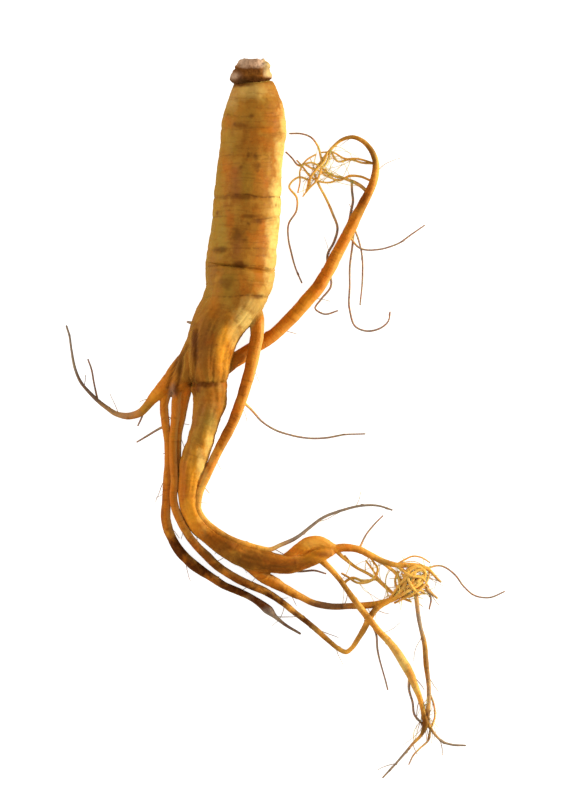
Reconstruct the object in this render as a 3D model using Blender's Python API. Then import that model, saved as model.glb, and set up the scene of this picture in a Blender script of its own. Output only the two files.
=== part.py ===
"""A fresh ginseng root, washed and laid on its side.

One grown piece: the rhizome stub (the head), the ringed taproot, its long leg,
the lateral roots and the rootlets that trail from them.

X runs to the right, Y towards the head and Z up. The root lies on Z = 0, and the
origin is on the ground under the middle of its length and breadth.
Sizes in this file are millimetres, and MM turns them into Blender's metres.
"""

import math

import bmesh
import bpy
import numpy as np
from mathutils import Matrix, Vector, noise

MM = 0.001

# Gap left between the ground and the roots that the flat doesn't cut
GROUND_GAP = 0.2

# Sides of the tubes: the taproot, its leg, the lateral roots, the rootlets and the hairs
TAPROOT_SIDES = 18
LEG_SIDES = 10
LATERAL_SIDES = 8
ROOTLET_SIDES = 6
HAIR_SIDES = 4

# Distance between the rings of a tube
TAPROOT_STEP = 1.45
LEG_STEP = 2.8
LATERAL_STEP = 3.4
ROOTLET_STEP = 3.1
HAIR_STEP = 4.2

# How far a root strays from its route, what share of its radius it swells by, and over what lengths
STRAY = 0.35
STRAY_LENGTH = 9.0
SWELL_SHARE = 0.07
SWELL_LENGTH = 6.0

# Where in the noise a root reads its straying along X, its straying along Y and its swelling
STRAY_X_PLACE = 0.5
STRAY_Y_PLACE = 7.5
SWELL_PLACE = 3.5
STRAY_SEED_SPACING = 3.7
SWELL_SEED_SPACING = 5.3

# Seeds of the straying, one for each root from these on
LEG_SEED = 1
BASE_SEED = 2
KNUCKLE_SEED = 3
LATERAL_SEED = 10
BUNDLE_SEED = 15
ROOTLET_SEED = 20
HAIR_SEED = 40

# Ring wrinkles round the taproot: place along Y, depth, and half width
RING_WRINKLES = [
    (107.6, 0.40, 0.9),
    (104.6, 0.35, 0.9),
    (101.4, 0.40, 0.9),
    (97.2, 0.50, 1.0),
    (92.6, 0.30, 1.0),
    (88.0, 0.35, 1.0),
    (83.4, 0.25, 1.1),
    (79.0, 0.35, 1.0),
    (74.4, 0.50, 1.0),
    (71.0, 0.30, 0.9),
    (67.8, 0.45, 1.0),
    (62.4, 0.30, 1.1),
    (57.2, 0.45, 1.0),
    (51.2, 0.50, 1.1),
    (46.2, 0.35, 1.0),
    (41.2, 0.45, 1.1),
    (36.0, 0.35, 1.1),
    (30.6, 0.30, 1.1),
    (25.0, 0.35, 1.1),
    (19.6, 0.30, 1.1),
]

# How far a ring wrinkle wanders along Y, over what length, and how tight its waves are round the root
RING_SLANT = 1.1
RING_WAVE_LENGTH = 9.0
RING_WAVE_TIGHTNESS = 1.3

# Each ring wrinkle fades and deepens about this share of its depth, on its way round
RING_FADE_MIDDLE = 0.65
RING_FADE_SWING = 0.5
RING_FADE_TIGHTNESS = 1.1
RING_FADE_PLACE = 2.0

# Broad lumps of the taproot
LUMP_HEIGHT = 0.45
LUMP_LENGTH = 14.0
LUMP_TIGHTNESS = 0.9
LUMP_PLACE = 5.0

# Every route below is a row of (x, y, height of the middle, radius)

# Its middle lies up to 0.75 lower than its radius, and the ground cuts the resting flat there
TAPROOT = [
    (-10.5, 112.6, 10.9, 6.4),
    (-10.4, 111.0, 10.8, 7.3),
    (-10.3, 108.3, 10.3, 8.4),
    (-10.1, 105.7, 10.15, 9.45),
    (-10.2, 103.0, 10.1, 10.2),
    (-10.3, 100.3, 10.2, 10.7),
    (-10.4, 97.0, 10.15, 10.9),
    (-11.1, 90.3, 9.9, 10.6),
    (-11.9, 82.0, 10.1, 10.85),
    (-12.4, 73.7, 10.55, 11.3),
    (-12.9, 67.0, 10.6, 11.35),
    (-13.7, 60.3, 10.6, 11.35),
    (-14.5, 53.7, 10.95, 11.7),
    (-15.4, 47.0, 10.75, 11.45),
    (-16.6, 42.0, 9.8, 10.4),
    (-19.3, 37.0, 9.0, 9.4),
    (-22.6, 32.0, 8.9, 8.7),
    (-24.4, 27.0, 8.7, 8.2),
    (-25.5, 20.6, 8.4, 7.6),
    (-25.5, 15.6, 7.9, 6.8),
    (-25.3, 12.6, 7.6, 5.6),
    (-25.2, 10.6, 7.4, 3.6),
]

LEG = [
    (-24.8, 23.0, 8.6, 5.4),
    (-25.4, 15.0, 7.9, 6.0),
    (-25.3, 11.4, 7.4, 5.9),
    (-24.9, 7.0, 6.8, 5.4),
    (-26.5, 0.3, 6.1, 4.7),
    (-28.2, -6.3, 5.5, 4.4),
    (-30.2, -13.0, 5.0, 4.4),
    (-31.7, -19.7, 4.6, 3.8),
    (-32.1, -26.3, 4.4, 3.4),
    (-30.1, -32.7, 4.3, 3.2),
    (-25.7, -37.7, 4.3, 3.2),
    (-19.9, -41.5, 4.4, 3.6),
    (-13.3, -44.9, 4.3, 3.9),
    (-5.7, -46.8, 4.1, 3.6),
    (1.7, -47.6, 3.8, 3.0),
    (7.0, -46.8, 3.6, 2.5),
    (11.5, -44.8, 3.5, 2.3),
    (15.5, -43.2, 3.0, 1.7),
]

# The knuckle above the end of the leg
KNUCKLE = [
    (-1.5, -46.6, 3.8, 1.3),
    (1.6, -44.9, 3.8, 1.7),
    (4.6, -42.7, 3.6, 2.1),
    (8.0, -40.9, 3.5, 2.4),
    (11.4, -40.6, 3.3, 2.2),
    (14.4, -41.8, 3.0, 1.8),
    (17.4, -42.8, 2.8, 1.2),
]

LEG_TIP = [
    (11.5, -44.6, 3.4, 1.5),
    (15.5, -43.1, 3.0, 1.5),
    (20.0, -42.4, 2.6, 1.35),
    (25.0, -42.9, 2.3, 1.2),
    (28.5, -44.7, 2.1, 1.1),
    (33.3, -47.0, 2.0, 1.0),
    (38.3, -48.0, 2.1, 0.85),
    (43.3, -48.0, 2.2, 0.75),
    (47.7, -49.4, 2.0, 0.6),
    (50.3, -52.0, 1.5, 0.45),
    (52.0, -53.7, 1.1, 0.35),
]

# The swollen base that the left lateral root and the bundle share
BUNDLE_BASE = [
    (-24.0, 36.0, 9.6, 5.2),
    (-27.6, 27.4, 8.8, 4.6),
    (-30.9, 20.6, 7.8, 4.4),
    (-34.0, 15.6, 6.9, 4.0),
    (-36.2, 11.9, 6.2, 3.1),
    (-37.0, 10.0, 6.0, 1.8),
]

LEFT_LATERAL = [
    (-31.8, 20.6, 7.2, 3.5),
    (-36.5, 15.4, 6.3, 3.4),
    (-39.9, 11.7, 5.5, 2.7),
    (-42.9, 8.5, 4.6, 2.0),
    (-46.0, 5.0, 3.7, 1.45),
    (-48.7, 2.6, 3.1, 1.35),
    (-51.8, 1.5, 2.6, 1.2),
    (-55.7, 2.0, 2.1, 0.95),
    (-60.0, 4.8, 1.7, 0.75),
    (-64.3, 8.7, 1.4, 0.62),
    (-68.0, 13.0, 1.2, 0.54),
    (-70.3, 18.7, 1.0, 0.46),
    (-71.4, 23.7, 0.9, 0.4),
    (-72.0, 28.4, 0.8, 0.36),
    (-73.0, 31.7, 0.7, 0.32),
]

BUNDLE_OUTER = [
    (-36.2, 16.6, 6.4, 2.2),
    (-38.6, 11.8, 5.4, 1.9),
    (-40.1, 7.0, 4.6, 1.6),
    (-39.9, 0.3, 3.8, 1.4),
    (-39.2, -6.3, 3.2, 1.35),
    (-39.0, -13.0, 2.8, 1.3),
    (-39.3, -19.7, 2.5, 1.4),
    (-39.8, -26.3, 2.3, 1.55),
    (-39.7, -32.3, 2.2, 1.7),
    (-38.0, -38.4, 2.2, 1.7),
    (-35.0, -43.6, 2.2, 1.7),
    (-31.2, -47.4, 2.2, 1.75),
    (-26.4, -50.9, 2.1, 1.55),
    (-20.6, -54.7, 1.9, 1.3),
    (-14.8, -57.2, 1.8, 1.2),
    (-11.0, -59.2, 1.8, 1.15),
    (-7.9, -61.4, 1.9, 1.3),
    (-5.5, -63.2, 1.9, 1.5),
    (-3.4, -65.2, 1.5, 0.85),
    (0.0, -68.0, 1.1, 0.55),
    (5.0, -71.0, 0.8, 0.4),
]

BUNDLE_MIDDLE = [
    (-33.8, 16.6, 7.0, 2.2),
    (-35.5, 11.7, 6.3, 1.8),
    (-36.2, 7.0, 5.7, 1.55),
    (-36.9, 0.3, 5.1, 1.4),
    (-37.3, -6.3, 4.7, 1.35),
    (-37.2, -13.0, 4.5, 1.3),
    (-37.0, -19.7, 4.4, 1.3),
    (-37.0, -26.3, 4.4, 1.3),
    (-35.6, -31.6, 4.4, 1.3),
    (-33.1, -36.6, 4.4, 1.3),
    (-29.9, -40.9, 4.5, 1.35),
    (-26.1, -44.9, 4.4, 1.4),
    (-21.5, -48.9, 4.1, 1.4),
    (-16.3, -52.2, 3.7, 1.4),
    (-11.0, -55.0, 3.2, 1.35),
    (-5.4, -57.8, 2.7, 1.2),
    (0.0, -61.2, 2.2, 1.05),
    (5.3, -65.4, 1.8, 0.95),
    (10.4, -69.8, 1.5, 0.9),
    (15.3, -74.0, 1.3, 0.85),
    (18.4, -76.4, 1.2, 0.8),
    (20.4, -77.1, 1.2, 0.8),
    (22.0, -75.9, 1.3, 0.75),
    (24.0, -73.0, 1.6, 0.85),
    (26.3, -69.3, 2.0, 1.0),
    (28.2, -65.8, 2.3, 1.1),
    (30.2, -63.0, 2.4, 1.0),
    (33.2, -60.9, 2.4, 0.85),
    (37.2, -59.0, 2.2, 0.7),
]

BUNDLE_INNER = [
    (-31.0, 16.4, 6.6, 2.2),
    (-32.6, 11.0, 5.6, 1.8),
    (-33.6, 6.3, 4.6, 1.5),
    (-34.4, 1.0, 3.7, 1.35),
    (-35.4, -4.7, 2.9, 1.3),
    (-35.8, -10.3, 2.4, 1.25),
    (-35.5, -16.3, 2.1, 1.2),
    (-34.9, -23.0, 2.0, 1.2),
    (-34.0, -29.0, 2.0, 1.2),
    (-31.6, -34.6, 1.9, 1.2),
    (-27.6, -38.6, 1.8, 1.2),
    (-22.6, -41.3, 1.9, 1.2),
    (-17.6, -43.6, 2.2, 1.2),
    (-12.8, -45.4, 2.6, 1.1),
]

# It leaves the leg on its underside, past the bend, with a knobbly stretch
LOWER_LATERAL = [
    (-18.0, -45.6, 3.2, 1.5),
    (-14.2, -47.4, 3.1, 1.5),
    (-10.8, -49.5, 3.0, 1.7),
    (-7.7, -51.7, 3.0, 2.0),
    (-4.1, -53.7, 2.9, 2.0),
    (-0.4, -55.9, 2.6, 1.6),
    (5.0, -58.6, 2.2, 1.2),
    (10.0, -60.9, 1.9, 1.1),
    (15.7, -61.9, 1.7, 1.1),
    (21.7, -61.8, 1.6, 1.1),
    (27.7, -61.5, 1.7, 1.05),
    (33.0, -60.4, 1.8, 0.95),
    (37.0, -59.0, 1.9, 0.9),
    (40.3, -57.0, 1.9, 0.8),
    (42.7, -54.0, 1.8, 0.7),
]

# It leaves the lower right of the taproot and crosses over the right lateral root
CROSSING_LATERAL = [
    (-14.6, 42.0, 11.2, 4.2),
    (-11.2, 37.6, 10.6, 3.3),
    (-9.6, 33.7, 10.0, 2.6),
    (-9.5, 28.7, 9.3, 2.3),
    (-10.4, 23.7, 8.9, 2.2),
    (-11.7, 17.0, 8.4, 2.1),
    (-13.1, 12.0, 7.9, 2.0),
    (-14.5, 7.0, 7.5, 1.9),
    (-17.0, 0.5, 6.9, 1.7),
    (-20.3, -6.0, 6.4, 1.65),
    (-23.7, -12.8, 6.1, 1.55),
    (-26.8, -19.4, 5.9, 1.45),
    (-28.6, -24.8, 5.8, 1.3),
    (-29.0, -29.0, 5.8, 1.25),
    (-27.3, -32.8, 5.8, 1.25),
    (-24.0, -35.8, 5.9, 1.2),
    (-19.7, -38.5, 5.9, 1.15),
    (-14.3, -40.8, 5.7, 1.1),
    (-9.0, -42.5, 5.3, 1.0),
    (-5.0, -43.0, 4.7, 0.85),
    (-1.4, -41.4, 3.6, 0.72),
    (3.8, -38.8, 2.5, 0.64),
    (8.7, -35.3, 1.8, 0.56),
    (12.9, -32.3, 1.4, 0.5),
    (18.6, -29.9, 1.2, 0.46),
    (25.0, -28.3, 1.1, 0.42),
    (31.7, -28.4, 1.0, 0.37),
    (35.7, -29.7, 0.9, 0.32),
]

RIGHT_LATERAL = [
    (-21.0, 17.4, 5.9, 2.8),
    (-15.7, 21.0, 4.5, 2.5),
    (-10.8, 24.3, 3.6, 2.2),
    (-6.2, 27.3, 3.1, 2.2),
    (-0.9, 31.5, 2.8, 2.2),
    (5.8, 38.5, 2.6, 2.2),
    (10.6, 43.9, 2.5, 2.2),
    (14.2, 49.9, 2.4, 2.1),
    (17.6, 55.8, 2.4, 2.0),
    (20.6, 61.7, 2.4, 1.9),
    (23.1, 66.8, 2.3, 1.85),
    (25.8, 71.7, 2.2, 1.65),
    (28.5, 76.7, 2.1, 1.45),
    (30.1, 81.9, 1.9, 1.25),
    (30.0, 87.0, 1.8, 1.05),
    (28.4, 90.7, 1.7, 0.9),
    (25.8, 93.5, 1.6, 0.8),
    (22.3, 94.8, 1.5, 0.7),
    (19.0, 93.9, 1.4, 0.62),
    (16.5, 91.8, 1.4, 0.56),
    (13.6, 88.6, 1.3, 0.5),
    (10.6, 84.6, 1.2, 0.45),
    (8.2, 80.4, 1.1, 0.4),
    (7.2, 76.6, 1.0, 0.34),
]

# From the knuckle at the end of the leg down to the knot
LONG_ROOTLET = [
    (10.6, -45.0, 3.5, 1.5),
    (13.3, -47.5, 3.0, 1.15),
    (15.9, -50.0, 2.7, 1.0),
    (18.2, -52.6, 2.7, 0.95),
    (20.4, -55.8, 3.0, 0.9),
    (22.8, -59.2, 3.4, 1.0),
    (25.1, -62.4, 3.5, 1.1),
    (27.5, -65.7, 3.2, 1.1),
    (30.5, -69.2, 2.5, 1.0),
    (34.0, -73.0, 2.0, 1.15),
    (37.3, -77.0, 1.8, 1.4),
    (40.0, -81.0, 1.8, 1.55),
    (42.1, -85.0, 1.7, 1.4),
    (43.7, -89.0, 1.5, 1.1),
    (45.2, -93.0, 1.3, 0.9),
    (46.3, -97.0, 1.3, 0.9),
    (47.0, -101.0, 1.3, 1.1),
    (46.0, -104.3, 1.0, 0.62),
    (42.6, -108.1, 0.9, 0.5),
    (39.2, -112.0, 0.8, 0.42),
    (36.0, -115.6, 0.7, 0.36),
    (32.7, -119.1, 0.7, 0.3),
]

DROP_ROOTLET = [
    (43.0, -55.2, 2.0, 0.85),
    (43.8, -59.0, 1.8, 0.8),
    (44.3, -63.7, 1.6, 0.75),
    (45.3, -69.7, 1.4, 0.7),
    (46.7, -75.7, 1.4, 0.85),
    (47.4, -81.0, 1.4, 0.9),
    (47.9, -86.3, 1.3, 0.78),
    (47.9, -91.3, 1.3, 0.72),
    (47.7, -96.3, 1.3, 0.8),
    (47.6, -100.6, 1.2, 0.8),
    (49.4, -103.9, 1.0, 0.5),
    (52.3, -106.9, 0.8, 0.44),
    (55.9, -108.1, 0.7, 0.38),
    (60.3, -108.4, 0.6, 0.3),
]

# Rootlets of the loose knot at the right, each over or under its neighbours
KNOT_ROOTLETS = [
    [
        (35.7, -60.0, 2.3, 0.6),
        (38.0, -57.7, 3.0, 0.75),
        (39.7, -55.0, 3.4, 0.8),
        (40.3, -52.0, 3.4, 0.8),
        (41.7, -49.7, 3.2, 0.75),
        (44.3, -48.7, 2.8, 0.7),
        (46.7, -50.0, 2.5, 0.65),
        (46.3, -52.7, 2.5, 0.65),
        (44.0, -55.0, 3.2, 0.6),
        (41.0, -56.7, 4.2, 0.5),
        (38.0, -58.6, 4.2, 0.4),
    ],
    [
        (33.6, -60.6, 1.6, 0.6),
        (36.8, -57.9, 1.2, 0.7),
        (39.2, -54.8, 1.1, 0.75),
        (42.4, -53.2, 1.1, 0.75),
        (45.6, -54.4, 1.1, 0.65),
        (48.2, -57.0, 1.0, 0.5),
        (50.8, -59.1, 0.9, 0.36),
    ],
    [
        (31.6, -46.4, 2.0, 0.55),
        (34.3, -48.7, 2.4, 0.55),
        (37.0, -51.0, 2.2, 0.6),
        (38.2, -53.6, 1.9, 0.6),
        (37.8, -56.3, 1.9, 0.55),
        (39.3, -59.0, 1.4, 0.45),
        (42.0, -60.3, 0.9, 0.35),
    ],
    [
        (17.4, -43.6, 2.3, 0.7),
        (20.2, -46.3, 1.6, 0.6),
        (23.3, -48.6, 1.2, 0.52),
        (27.0, -50.6, 0.9, 0.5),
        (30.4, -52.8, 0.8, 0.48),
        (33.2, -55.2, 0.9, 0.46),
        (35.6, -57.3, 1.3, 0.44),
        (38.2, -58.6, 1.8, 0.4),
    ],
    [
        (19.4, -54.2, 2.4, 0.5),
        (22.4, -52.4, 1.6, 0.45),
        (26.2, -53.4, 1.1, 0.45),
        (29.4, -52.6, 1.9, 0.42),
        (31.0, -49.4, 2.2, 0.38),
        (29.2, -46.6, 1.9, 0.36),
        (27.6, -44.4, 2.0, 0.4),
    ],
]

# Hairs, each from a root that carries it to its free tip
HAIRS = [
    # Up and over the top of the right lateral root's loop
    [(12.2, 87.2, 1.3, 0.4), (11.0, 91.6, 1.2, 0.36), (8.4, 95.0, 1.0, 0.33),
     (5.6, 96.0, 0.8, 0.3), (1.6, 96.0, 0.7, 0.26)],
    [(15.6, 91.0, 1.4, 0.4), (12.6, 84.8, 2.2, 0.38), (8.4, 86.4, 2.3, 0.36),
     (4.6, 85.4, 1.4, 0.34), (2.4, 87.8, 0.9, 0.3), (0.4, 89.8, 0.7, 0.26)],
    [(11.2, 85.6, 1.2, 0.38), (15.0, 82.4, 0.9, 0.4), (20.0, 81.0, 0.9, 0.5),
     (23.6, 79.6, 1.0, 0.6), (26.4, 77.6, 1.5, 0.62), (27.9, 75.6, 2.0, 0.6)],
    [(15.2, 90.2, 1.4, 0.38), (17.6, 86.6, 1.0, 0.36), (22.0, 87.2, 0.9, 0.36),
     (26.0, 86.2, 1.3, 0.38), (29.6, 86.0, 1.8, 0.4)],
    # Down the inside of the right lateral root, under it and out again
    [(9.6, 83.0, 1.2, 0.42), (11.2, 79.2, 0.9, 0.42), (13.4, 74.8, 0.8, 0.42),
     (15.8, 69.4, 0.8, 0.42), (17.5, 64.2, 0.8, 0.42), (16.4, 60.0, 0.7, 0.42),
     (14.2, 55.8, 0.6, 0.4), (14.4, 50.4, 0.5, 0.38), (15.2, 45.0, 0.5, 0.36),
     (12.0, 40.6, 0.5, 0.34), (10.2, 37.6, 0.5, 0.32), (13.0, 35.6, 0.5, 0.3),
     (17.6, 36.8, 0.5, 0.26)],
    # Down between the taproot and the loop
    [(8.2, 80.4, 1.1, 0.38), (4.6, 81.4, 0.9, 0.36), (1.4, 78.4, 0.7, 0.34),
     (4.0, 74.6, 0.7, 0.34), (3.8, 70.6, 0.6, 0.34), (1.2, 66.0, 0.6, 0.32),
     (1.1, 61.0, 0.6, 0.32), (2.2, 55.4, 0.6, 0.3), (3.8, 50.4, 0.6, 0.28),
     (5.6, 46.2, 0.6, 0.26)],
    # From the right of the loop down to a hook
    [(23.2, 67.6, 2.2, 0.5), (22.6, 60.4, 1.3, 0.38), (21.9, 53.6, 0.8, 0.36),
     (21.7, 45.4, 0.7, 0.34), (21.7, 37.0, 0.6, 0.34), (23.2, 31.6, 0.6, 0.34),
     (27.4, 29.9, 0.6, 0.34), (31.8, 31.0, 0.6, 0.32), (34.6, 33.6, 0.6, 0.3),
     (35.1, 36.4, 0.6, 0.26)],
    [(22.2, 66.4, 2.2, 0.46), (24.6, 60.4, 1.2, 0.34), (25.7, 54.0, 0.7, 0.3),
     (25.7, 46.0, 0.6, 0.3), (25.1, 38.8, 0.6, 0.26)],
    [(20.6, 63.0, 2.2, 0.44), (25.4, 57.4, 1.3, 0.32), (31.0, 57.2, 0.8, 0.3),
     (37.0, 59.0, 0.7, 0.28), (42.2, 62.4, 0.6, 0.26), (46.6, 65.3, 0.6, 0.24)],
    # Off the crossing lateral root
    [(-14.2, 6.6, 7.4, 0.5), (-11.0, 3.5, 5.6, 0.42), (-7.6, -0.2, 3.4, 0.38),
     (-3.2, -2.9, 1.9, 0.36), (1.8, -4.5, 1.1, 0.35), (7.0, -5.5, 0.7, 0.34),
     (13.4, -5.7, 0.6, 0.32), (19.8, -4.6, 0.6, 0.3), (26.7, -4.3, 0.6, 0.26)],
    # Off the left lateral root and the bundle
    [(-62.6, 7.2, 1.5, 0.36), (-63.8, 13.0, 1.2, 0.32), (-64.7, 17.5, 0.9, 0.3),
     (-65.8, 20.5, 0.8, 0.26)],
    [(-46.8, 4.8, 3.5, 0.42), (-47.6, 1.8, 2.2, 0.34), (-49.1, -1.5, 1.2, 0.28)],
    [(-39.6, -1.4, 3.6, 0.46), (-42.0, -2.6, 2.6, 0.4), (-45.6, -4.8, 1.4, 0.35),
     (-49.4, -7.0, 0.8, 0.28)],
    [(-29.6, 32.2, 9.2, 0.8), (-32.4, 33.0, 9.0, 0.4)],
    # Off the leg and its tip
    [(0.6, -49.6, 2.4, 0.5), (5.0, -50.3, 1.4, 0.38), (9.8, -50.0, 0.9, 0.34),
     (13.6, -51.0, 0.7, 0.28)],
    [(24.8, -42.6, 2.3, 0.42), (27.0, -38.2, 1.5, 0.34), (29.6, -34.8, 1.0, 0.3),
     (32.7, -31.7, 0.8, 0.26)],
    [(47.2, -49.2, 2.0, 0.42), (51.7, -48.4, 1.3, 0.34), (56.6, -51.4, 0.8, 0.32),
     (60.0, -55.6, 0.7, 0.3), (63.6, -58.5, 0.6, 0.3), (68.3, -59.0, 0.6, 0.28),
     (73.3, -57.0, 0.6, 0.25)],
    # Off the long rootlets
    [(28.6, -66.9, 2.8, 0.46), (30.5, -71.3, 1.6, 0.38), (31.1, -76.3, 0.9, 0.34),
     (32.1, -81.3, 0.7, 0.3), (34.3, -89.7, 0.6, 0.26)],
    [(41.8, -84.6, 1.6, 0.6), (41.4, -89.6, 1.1, 0.44), (42.4, -94.0, 0.9, 0.4),
     (43.2, -98.2, 0.9, 0.4), (46.4, -101.6, 1.1, 0.44)],
    [(47.8, -90.0, 1.3, 0.5), (49.6, -94.4, 0.9, 0.38), (49.9, -99.0, 0.8, 0.38),
     (48.4, -103.0, 0.9, 0.42), (47.9, -106.6, 0.9, 0.36), (44.8, -109.6, 1.0, 0.34),
     (42.9, -111.6, 0.6, 0.3), (41.4, -114.7, 0.6, 0.26)],
    [(47.6, -56.2, 1.1, 0.46), (48.7, -59.4, 0.9, 0.34), (48.2, -62.8, 0.8, 0.26)],
    # Beside the right lateral root, on the inside of its loop
    [(22.3, 80.2, 1.0, 0.44), (22.3, 77.0, 0.9, 0.42), (22.6, 73.4, 0.9, 0.42),
     (21.9, 69.6, 1.2, 0.44), (21.4, 65.8, 1.7, 0.46)],
]

# Lumps of the rhizome stub: middle, half sizes along X, Y and Z, and turn about Z in degrees
HEAD_LUMPS = [
    ((-11.4, 114.2, 10.7), (7.2, 2.9, 6.8), 4.0),
    ((-10.9, 116.9, 11.4), (5.9, 2.7, 5.6), -8.0),
    ((-14.6, 115.6, 13.2), (2.6, 2.5, 2.6), 20.0),
    ((-7.4, 115.2, 8.4), (2.9, 2.3, 3.0), -15.0),
]
HEAD_LUMP_SEGMENTS = 14
HEAD_LUMP_RINGS = 8
HEAD_ROUGHNESS = 0.35
HEAD_ROUGHNESS_TIGHTNESS = 2.1

# The cup that the dead stem left, turned about an axis along Y: (radius, y)
STEM_SCAR_MIDDLE = (-11.0, 11.7)
STEM_SCAR_PROFILE = [(0.0, 116.4), (4.3, 116.4), (4.6, 118.6), (4.1, 120.2), (3.3, 120.3), (0.0, 119.2)]
STEM_SCAR_STEPS = 14

# The slab that cuts the flat: size along X, Y and Z, and its place along Y
SLAB_SIZE = (80.0, 160.0, 10.0)
SLAB_PLACE = 60.0

# Loose points this close, in metres, are welded
WELD_DISTANCE = 0.00001

SKIN_COLOUR = (0.47, 0.25, 0.07, 1.0)
SKIN_ROUGHNESS = 0.6


def clear_scene():
    for existing in list(bpy.data.objects):
        bpy.data.objects.remove(existing, do_unlink=True)


def new_collection(name):
    collection = bpy.data.collections.new(name)
    bpy.context.scene.collection.children.link(collection)
    return collection


def make_skin():
    skin = bpy.data.materials.new("root_skin")
    skin.use_nodes = True
    shader = skin.node_tree.nodes["Principled BSDF"]
    shader.inputs["Base Color"].default_value = SKIN_COLOUR
    shader.inputs["Roughness"].default_value = SKIN_ROUGHNESS
    shader.inputs["Metallic"].default_value = 0.0
    return skin


def smooth_route(points, step):
    """A smooth curve through the points, as evenly spaced rows, and how far along each one is."""
    rows = np.array(points, dtype=float)
    chords = np.linalg.norm(np.diff(rows[:, :3], axis=0), axis=1)
    at = np.concatenate([[0.0], np.cumsum(chords)])
    slopes = np.gradient(rows, at, axis=0)
    count = max(3, int(round(at[-1] / step)) + 1)
    places = np.linspace(0.0, at[-1], count)
    samples = []
    for place in places:
        span = min(int(np.searchsorted(at, place, side="right")) - 1, len(at) - 2)
        width = at[span + 1] - at[span]
        share = (place - at[span]) / width
        square, cube = share ** 2, share ** 3
        samples.append(
            (2 * cube - 3 * square + 1) * rows[span]
            + (cube - 2 * square + share) * width * slopes[span]
            + (3 * square - 2 * cube) * rows[span + 1]
            + (cube - square) * width * slopes[span + 1]
        )
    return samples, places


def natural_route(points, step, seed):
    """A smooth route that strays sideways, swells a little and stays above the ground."""
    samples, places = smooth_route(points, step)
    length = places[-1]
    grown = []
    for (x, y, height, radius), place in zip(samples, places):
        ease = min(1.0, place / STRAY_LENGTH, (length - place) / STRAY_LENGTH)
        along, own = place / STRAY_LENGTH, seed * STRAY_SEED_SPACING
        x += STRAY * ease * noise.noise(Vector((along, own, STRAY_X_PLACE)))
        y += STRAY * ease * noise.noise(Vector((along, own, STRAY_Y_PLACE)))
        swelling = Vector((place / SWELL_LENGTH, seed * SWELL_SEED_SPACING, SWELL_PLACE))
        radius *= 1.0 + SWELL_SHARE * noise.noise(swelling)
        grown.append((x, y, max(height, radius + GROUND_GAP), radius))
    return grown


def tube(name, samples, sides, collection):
    """A closed mesh tube along the samples, each with its own radius."""
    curve = bpy.data.curves.new(name, "CURVE")
    curve.dimensions = "3D"
    curve.bevel_depth = MM
    curve.bevel_resolution = sides // 2 - 2
    curve.use_fill_caps = True
    spline = curve.splines.new("POLY")
    spline.points.add(len(samples) - 1)
    for point, (x, y, height, radius) in zip(spline.points, samples):
        point.co = (x * MM, y * MM, height * MM, 1.0)
        point.radius = radius
    guide = bpy.data.objects.new(name + "_guide", curve)
    collection.objects.link(guide)
    bpy.context.view_layer.update()
    evaluated = guide.evaluated_get(bpy.context.evaluated_depsgraph_get())
    mesh = bpy.data.meshes.new_from_object(evaluated)
    root = bpy.data.objects.new(name, mesh)
    root.matrix_world = guide.matrix_world.copy()
    collection.objects.link(root)
    bpy.data.objects.remove(guide, do_unlink=True)
    close_mesh(mesh)
    return root


def close_mesh(mesh):
    """Weld the loose caps and point every face out."""
    body = bmesh.new()
    body.from_mesh(mesh)
    bmesh.ops.remove_doubles(body, verts=body.verts, dist=WELD_DISTANCE)
    bmesh.ops.recalc_face_normals(body, faces=body.faces)
    body.to_mesh(mesh)
    body.free()


def ring_relief(y, angle):
    """Depth of the ring wrinkles and broad lumps of the taproot at one place on it."""
    around = Vector((math.cos(angle), math.sin(angle), 0.0))
    wave = noise.noise(around * RING_WAVE_TIGHTNESS + Vector((0.0, 0.0, y / RING_WAVE_LENGTH)))
    lump = noise.noise(around * LUMP_TIGHTNESS + Vector((LUMP_PLACE, 0.0, y / LUMP_LENGTH)))
    relief = LUMP_HEIGHT * lump
    for place, depth, half_width in RING_WRINKLES:
        reach = (y - place - RING_SLANT * wave) / half_width
        own = noise.noise(around * RING_FADE_TIGHTNESS + Vector((place, RING_FADE_PLACE, 0.0)))
        fade = RING_FADE_MIDDLE + RING_FADE_SWING * own
        relief -= depth * fade * math.exp(-reach * reach)
    return relief


def wrinkle_taproot(taproot, samples):
    """Press the ring wrinkles into the taproot and leave its broad lumps standing."""
    axis = np.array(samples)[:, :3]
    for vertex in taproot.data.vertices:
        place = np.array(vertex.co) / MM
        nearest = axis[np.argmin(np.linalg.norm(axis - place, axis=1))]
        out = Vector(place - nearest)
        angle = math.atan2(out.z, out.x)
        vertex.co += out.normalized() * ring_relief(place[1], angle) * MM


def flatten_underside(taproot, cutters):
    """Cut the small flat that the root rests on."""
    mesh = bpy.data.meshes.new("ground_cutter")
    body = bmesh.new()
    bmesh.ops.create_cube(body, size=1.0)
    place = Matrix.Translation((0.0, SLAB_PLACE, -SLAB_SIZE[2] / 2)) @ Matrix.Diagonal((*SLAB_SIZE, 1.0))
    bmesh.ops.transform(body, matrix=Matrix.Scale(MM, 4) @ place, verts=body.verts)
    body.to_mesh(mesh)
    body.free()
    slab = bpy.data.objects.new("ground_cutter", mesh)
    cutters.objects.link(slab)
    slab.hide_render = True
    slab.display_type = "WIRE"
    cut = taproot.modifiers.new("rest_flat", "BOOLEAN")
    cut.operation = "DIFFERENCE"
    cut.solver = "EXACT"
    cut.object = slab
    return slab


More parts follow.
